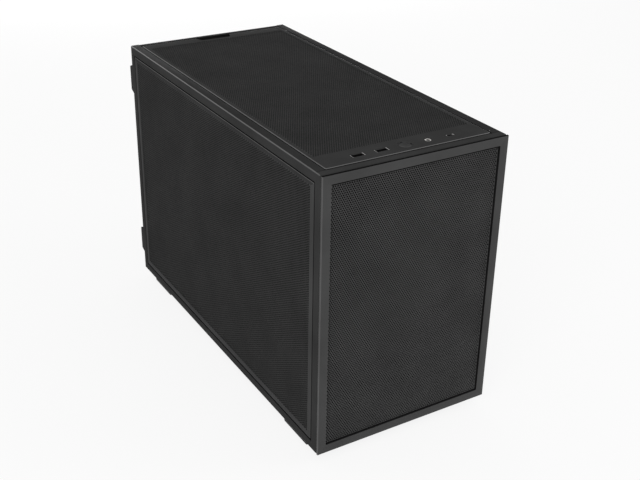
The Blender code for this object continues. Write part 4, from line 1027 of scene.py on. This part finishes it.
def ball_stud(node):
    """Makes a ball stud on its base, pointing into the case."""
    middle, low, high = middle_of(node)
    towards = Vector((0, 0, -1)) if node.startswith("top") else Vector((-math.copysign(1, middle.x), 0, 0))
    length = abs((high - low).dot(towards))
    ball = length - STUD_BALL_R
    profile = [(0, 0), (STUD_BASE_R, 0), (STUD_BASE_R, STUD_BASE_T - CUT_EDGE),
               (STUD_BASE_R - CUT_EDGE, STUD_BASE_T), (STUD_NECK_R, STUD_BASE_T)]
    lowest = -math.degrees(math.acos(STUD_NECK_R / STUD_BALL_R))
    for angle in arc(lowest, 90, STUD_STEPS)[:-1]:
        profile.append((STUD_BALL_R * math.cos(angle), ball + STUD_BALL_R * math.sin(angle)))
    profile.append((0, ball + STUD_BALL_R))
    piece = turned(node + "_ball", STEEL, profile, middle - towards * length / 2, towards, STUD_SIDES)
    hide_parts(node)
    return piece


def thumbscrew(node):
    """Makes a knurled screw with a cross in its head, its shank towards +X."""
    middle, low, high = middle_of(node)
    towards = Vector((-1, 0, 0))
    length = high.x - low.x
    neck = length - SCREW_HEAD_T
    profile = [(0, 0), (SCREW_R - SCREW_CHAMFER / 2, 0), (SCREW_R, SCREW_CHAMFER), (SCREW_R, neck),
               (SCREW_HEAD_R - SCREW_CHAMFER, neck), (SCREW_HEAD_R, neck + SCREW_CHAMFER, 1),
               (SCREW_HEAD_R, length - SCREW_CHAMFER, 1), (SCREW_HEAD_R - SCREW_CHAMFER, length),
               (0, length)]
    start = Vector((high.x, middle.y, middle.z))
    piece = turned(node + "_knurled", STEEL, profile, start, towards, SCREW_SIDES, SCREW_KNURL)
    cross = bmesh.new()
    for half_y, half_z in ((CROSS_L / 2, CROSS_W / 2), (CROSS_W / 2, CROSS_L / 2)):
        add_box(cross, (low.x - CROSS_D, middle.y - half_y, middle.z - half_z),
                (low.x + CROSS_D, middle.y + half_y, middle.z + half_z))
    cut_with(piece, cross)
    shade_round(piece, SMOOTH_TURNED)
    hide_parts(node)
    return piece


def audio_jack():
    """Makes the jack: a steel collar with a rounded lip, and a body with a bore under it. The collar below
    its lip is painted shade, and the black plastic body is painted in the near-black shade paint, so that
    the bore looks dark.
    """
    middle, low, high = middle_of("audio_jack")
    height = high.z - low.z
    shoulder = height - JACK_LIP
    foot = height - JACK_COLLAR_H
    profile = [(JACK_BORE_R, foot), (JACK_BORE_R, shoulder)]
    for angle in arc(180, 0, JACK_LIP_STEPS):
        ring = (JACK_R + JACK_BORE_R) / 2 + (JACK_R - JACK_BORE_R) / 2 * math.cos(angle)
        profile.append((ring, shoulder + JACK_LIP * math.sin(angle)))
    profile.append((JACK_R, foot))
    profile.append((JACK_BORE_R, foot))
    base = Vector((middle.x, middle.y, low.z))
    collar = turned("jack_collar", STEEL, profile, base, (0, 0, 1), ROUND_CUT_SIDES)
    # Painted shade on the collar's walls below its lip
    paint_where(collar, SHADE_PAINT, lambda point, normal: point.z < high.z - JACK_LIP)
    top = foot - SEAM
    body = [(0, 0), (JACK_R, 0), (JACK_R, top), (JACK_BORE_R, top), (JACK_BORE_R, SKIN), (0, SKIN)]
    # The body is black plastic, painted in the near-black shade paint so that its bore looks dark
    bore = turned("jack_body", SHADE_PAINT, body, base, (0, 0, 1))
    for piece in (collar, bore):
        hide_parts("audio_jack")
    return collar, bore


def power_button():
    """Makes the button: a round cap with an eased rim and a slight dish, on its stem."""
    middle, low, high = middle_of("power_button")
    radius = (high.x - low.x) / 2
    height = high.z - low.z
    skirt = height - BUTTON_CAP_H
    profile = [(0, 0), (BUTTON_STEM_R, 0), (BUTTON_STEM_R, skirt), (radius, skirt)]
    for angle in arc(0, 90, BUTTON_EDGE_STEPS):
        profile.append((radius - BUTTON_EDGE + BUTTON_EDGE * math.cos(angle),
                        height - BUTTON_EDGE + BUTTON_EDGE * math.sin(angle)))
    rim = radius - 2 * BUTTON_EDGE
    for n in range(1, BUTTON_DISH_STEPS + 1):
        share = n / BUTTON_DISH_STEPS
        profile.append((rim * (1 - share), height - BUTTON_DISH * (1 - (1 - share) ** 2)))
    base = (middle.x, middle.y, low.z)
    piece = turned("button_cap", BUTTON_PAINT, profile, base, (0, 0, 1), BUTTON_SIDES)
    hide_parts("power_button")
    return piece


def socket_shell(name, node, corner, wall, lip, end):
    """Makes a socket's steel tube. Its lip carries a painted highlight in brighter steel at the two ends
    and stays dull on the long sides, and its inside below the lip is painted shade.
    """
    middle, low, high = middle_of(node)
    depth = high.z - low.z
    outer = (low.x, low.y), (high.x, high.y)
    inner = grown(*outer, -wall)
    edge = grown(*outer, -wall / 2)

    def plane(u, v, drop):
        return u, v, high.z - drop

    rings = [(*inner, corner - wall, depth), (*inner, corner - wall, lip), (*edge, corner - wall / 2, 0.0),
             (*outer, corner, lip), (*outer, corner, depth), (*inner, corner - wall, depth)]
    bm = loft_rings(plane, rings)
    bmesh.ops.remove_doubles(bm, verts=bm.verts, dist=WELD_REACH)
    bmesh.ops.recalc_face_normals(bm, faces=bm.faces)
    piece = new_piece(name, bm, DARK_STEEL)
    shade_round(piece, SMOOTH_SHELL)
    reach = (high.x - low.x) / 2 - end
    # Painted shade inside the tube, below its lip
    paint_where(piece, SHADE_PAINT, lambda point, normal: point.z < high.z - 2 * lip)
    # Painted highlight: brighter steel on the lip's two ends, where it glints
    paint_where(piece, GLINT_STEEL, lambda point, normal: abs(point.x - middle.x) > reach and normal.z > 0.2)
    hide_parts(node)
    return piece


def usb_c_core():
    """Makes the black inside of the USB-C socket, with its tongue."""
    middle, low, high = middle_of("usb_c_port")
    well = high.z - USB_C_WELL
    bm = bmesh.new()
    add_box(bm, (low.x + USB_C_T, low.y + USB_C_T, low.z), (high.x - USB_C_T, high.y - USB_C_T, well))
    across, along, height = USB_C_TONGUE
    add_box(bm, (middle.x - across / 2, middle.y - along / 2, well - SEAM),
            (middle.x + across / 2, middle.y + along / 2, well + height))
    piece = new_piece("usb_c_core", bm, PLASTIC)
    ease_edges(piece)
    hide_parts("usb_c_port")
    return piece


def usb_contacts(number):
    """Makes the four gilt strips on the tongue of a USB-A socket."""
    middle, _, high = middle_of(f"usb_a_tongue_{number}")
    bm = bmesh.new()
    for n in range(CONTACT_COUNT):
        x = middle.x + (n - (CONTACT_COUNT - 1) / 2) * CONTACT_PITCH
        y = middle.y - CONTACT_Y
        add_box(bm, (x - CONTACT_W / 2, y - CONTACT_T, high.z - CONTACT_L),
                (x + CONTACT_W / 2, y, high.z - CONTACT_T))
    piece = new_piece(f"usb_a_contacts_{number}", bm, GOLD)
    ease_edges(piece, CONTACT_T / 3)
    return piece


# Feet


def foot(node):
    """Makes a rubber foot: a block under the pan whose lower part reaches out under the side panel."""
    low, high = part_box(node)
    side = math.copysign(1, low.x + high.x)
    inner, outer = sorted((abs(low.x), abs(high.x)))
    ends = sorted((side * inner, side * (outer + FOOT_FLANGE)))
    bm = bmesh.new()
    made = add_box(bm, (ends[0], low.y, 0), (ends[1], high.y, FOOT_FLANGE_TOP))
    for point in made:
        if point.co.z < FOOT_FLANGE_TOP / 2:
            point.co.y -= math.copysign(FOOT_END, point.co.y - (low.y + high.y) / 2)
    add_box(bm, (low.x, low.y, FOOT_FLANGE_TOP / 2), high)
    piece = new_piece(f"{node}_rubber", bm, RUBBER)
    ease_edges(piece, FOOT_EDGE, FOOT_EDGE_STEPS)
    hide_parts(node)
    return piece


# The CAD model's own pieces


def dress_nodes():
    """Gives the CAD pieces that stay their finish, and takes the sharpness off their edges."""
    for name, node in NODES.items():
        if node.hide_render:
            continue
        finish = finish_of(name)
        if not node.data.materials:
            node.data.materials.append(finish)
        for slot in node.material_slots:
            slot.material = finish
        weld = node.modifiers.new("weld", "WELD")
        weld.merge_threshold = WELD_REACH
        add_edge_bevel(node, CUT_EDGE, 2)


def finish_of(name):
    """Finds a CAD piece's finish by the words in its name."""
    for word, finish in NODE_FINISHES.items():
        if word in name:
            return finish
    return CHASSIS_PAINT


# Light, floor and camera


def add_area(name, place, size, power, target=CASE_MIDDLE):
    """Adds a rectangular lamp that looks at a target."""
    data = bpy.data.lights.new(name, "AREA")
    data.shape = "RECTANGLE"
    data.size, data.size_y = size
    data.energy = power
    lamp = add_object(name, data)
    lamp.location = place
    lamp.rotation_euler = (Vector(target) - Vector(place)).to_track_quat("-Z", "Y").to_euler()


def seen_straight(tree):
    """Adds a value that is 1 for the camera's own rays and for reflected and clear ones."""
    path = tree.nodes.new("ShaderNodeLightPath")
    return add_maximum(tree, path.outputs["Is Camera Ray"], path.outputs["Is Glossy Ray"],
                       path.outputs["Is Transmission Ray"])


def make_world():
    """Makes a white surrounding that looks whiter than it lights."""
    world = bpy.data.worlds.new("studio")
    bpy.context.scene.world = world
    world.use_nodes = True
    tree = world.node_tree
    back = tree.nodes["Background"]
    strength = tree.nodes.new("ShaderNodeMapRange")
    set_inputs(strength, {"To Min": WORLD_LIGHT, "To Max": WORLD_SEEN})
    back.inputs["Color"].default_value = (1, 1, 1, 1)
    tree.links.new(seen_straight(tree), strength.inputs["Value"])
    tree.links.new(strength.outputs["Result"], back.inputs["Strength"])


def make_floor():
    """Makes a pale floor that keeps the case's shadow and looks nearly as white as the world."""
    bm = bmesh.new()
    bmesh.ops.create_grid(bm, x_segments=1, y_segments=1, size=FLOOR_HALF)
    finish, tree, shader = new_material("studio_floor")
    set_inputs(shader, {"Base Color": (FLOOR_GREY, FLOOR_GREY, FLOOR_GREY, 1), "Roughness": 0.9,
                        "Specular IOR Level": 0.0})
    glow = tree.nodes.new("ShaderNodeEmission")
    blend = tree.nodes.new("ShaderNodeMixShader")
    share = tree.nodes.new("ShaderNodeMath")
    share.operation = "MULTIPLY"
    share.inputs[1].default_value = FLOOR_GLOW
    tree.links.new(seen_straight(tree), share.inputs[0])
    tree.links.new(share.outputs[0], blend.inputs[0])
    tree.links.new(shader.outputs[0], blend.inputs[1])
    tree.links.new(glow.outputs[0], blend.inputs[2])
    tree.links.new(blend.outputs[0], tree.nodes["Material Output"].inputs["Surface"])
    new_piece("floor", bm, finish)


def make_camera():
    """Places the camera where the photograph was taken."""
    data = bpy.data.cameras.new("camera")
    data.lens = CAMERA_LENS
    data.sensor_width = 36
    data.shift_x, data.shift_y = CAMERA_SHIFT
    camera = add_object("camera", data)
    bpy.context.scene.camera = camera
    right, forward = Vector(CAMERA_RIGHT).normalized(), Vector(CAMERA_FORWARD).normalized()
    up = right.cross(forward)
    turn = Matrix((right, up, -forward)).transposed().to_4x4()
    camera.matrix_world = Matrix.Translation(CAMERA_PLACE) @ turn


def ride_all(body, slot, *pieces):
    """Lets pieces move with a body; slot is not used."""
    for piece in pieces:
        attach(piece, body)


def dress_covers():
    """Makes the four covers."""
    for side, body in ((-1, "left_panel"), (1, "right_panel")):
        ride_all(body, "panel_paint", side_frame(side), *side_inset(side))
    ride_all("top_cover", "panel_paint", *top_cover())
    ride_all("front_cover", "front_frame_paint", front_frame())
    ride_all("front_cover", "panel_paint", *front_inset())


def dress_fasteners_and_feet():
    """Makes the ball studs, the thumbscrews and the feet."""
    for node in sorted(NODES):
        if "stud" in node:
            word = node.split("_")[0]
            body = "top_cover" if word == "top" else f"{word}_panel"
            ride_all(body, "nickel_steel", ball_stud(node))
        if node.startswith("slot_screw"):
            ride_all("chassis", "nickel_steel", thumbscrew(node))
        if node.startswith("foot"):
            ride_all("chassis", "foot_rubber", foot(node))


def dress_fittings():
    """Makes the sockets, the jack and the button on the top."""
    for node in ("usb_a_shell_1", "usb_a_shell_2"):
        shell = socket_shell(node + "_tube", node, USB_A_CORNER, SHELL_T, SHELL_LIP, SHELL_END)
        ride_all("chassis", "nickel_steel", shell)
    _, low, high = middle_of("usb_c_port")
    radius = (high.y - low.y) / 2 - USB_C_ROUND_LEFT
    tube = socket_shell("usb_c_tube", "usb_c_port", radius, USB_C_T, SHELL_LIP, USB_C_END)
    ride_all("chassis", "nickel_steel", tube)
    ride_all("chassis", "black_plastic", usb_c_core())
    jack_collar, jack_body = audio_jack()
    ride_all("chassis", "nickel_steel", jack_collar, usb_contacts(1), usb_contacts(2))
    ride_all("chassis", "black_plastic", jack_body)
    ride_all("button", "button_paint", power_button())


dress_covers()
dress_fasteners_and_feet()
dress_fittings()
dress_nodes()

make_camera()
make_world()
make_floor()
add_area("key", (-1.4, -1.5, 1.3), (1.4, 1.4), 22)
add_area("top", (0.3, 0.3, 2.3), (2.0, 2.0), 3)
add_area("fill", (1.8, -1.2, 1.0), (1.2, 1.2), 10)
add_area("rear", (0.7, 2.0, 0.2), (1.6, 0.35), 14, REAR_TARGET)
bpy.context.scene.view_settings.view_transform = "Standard"
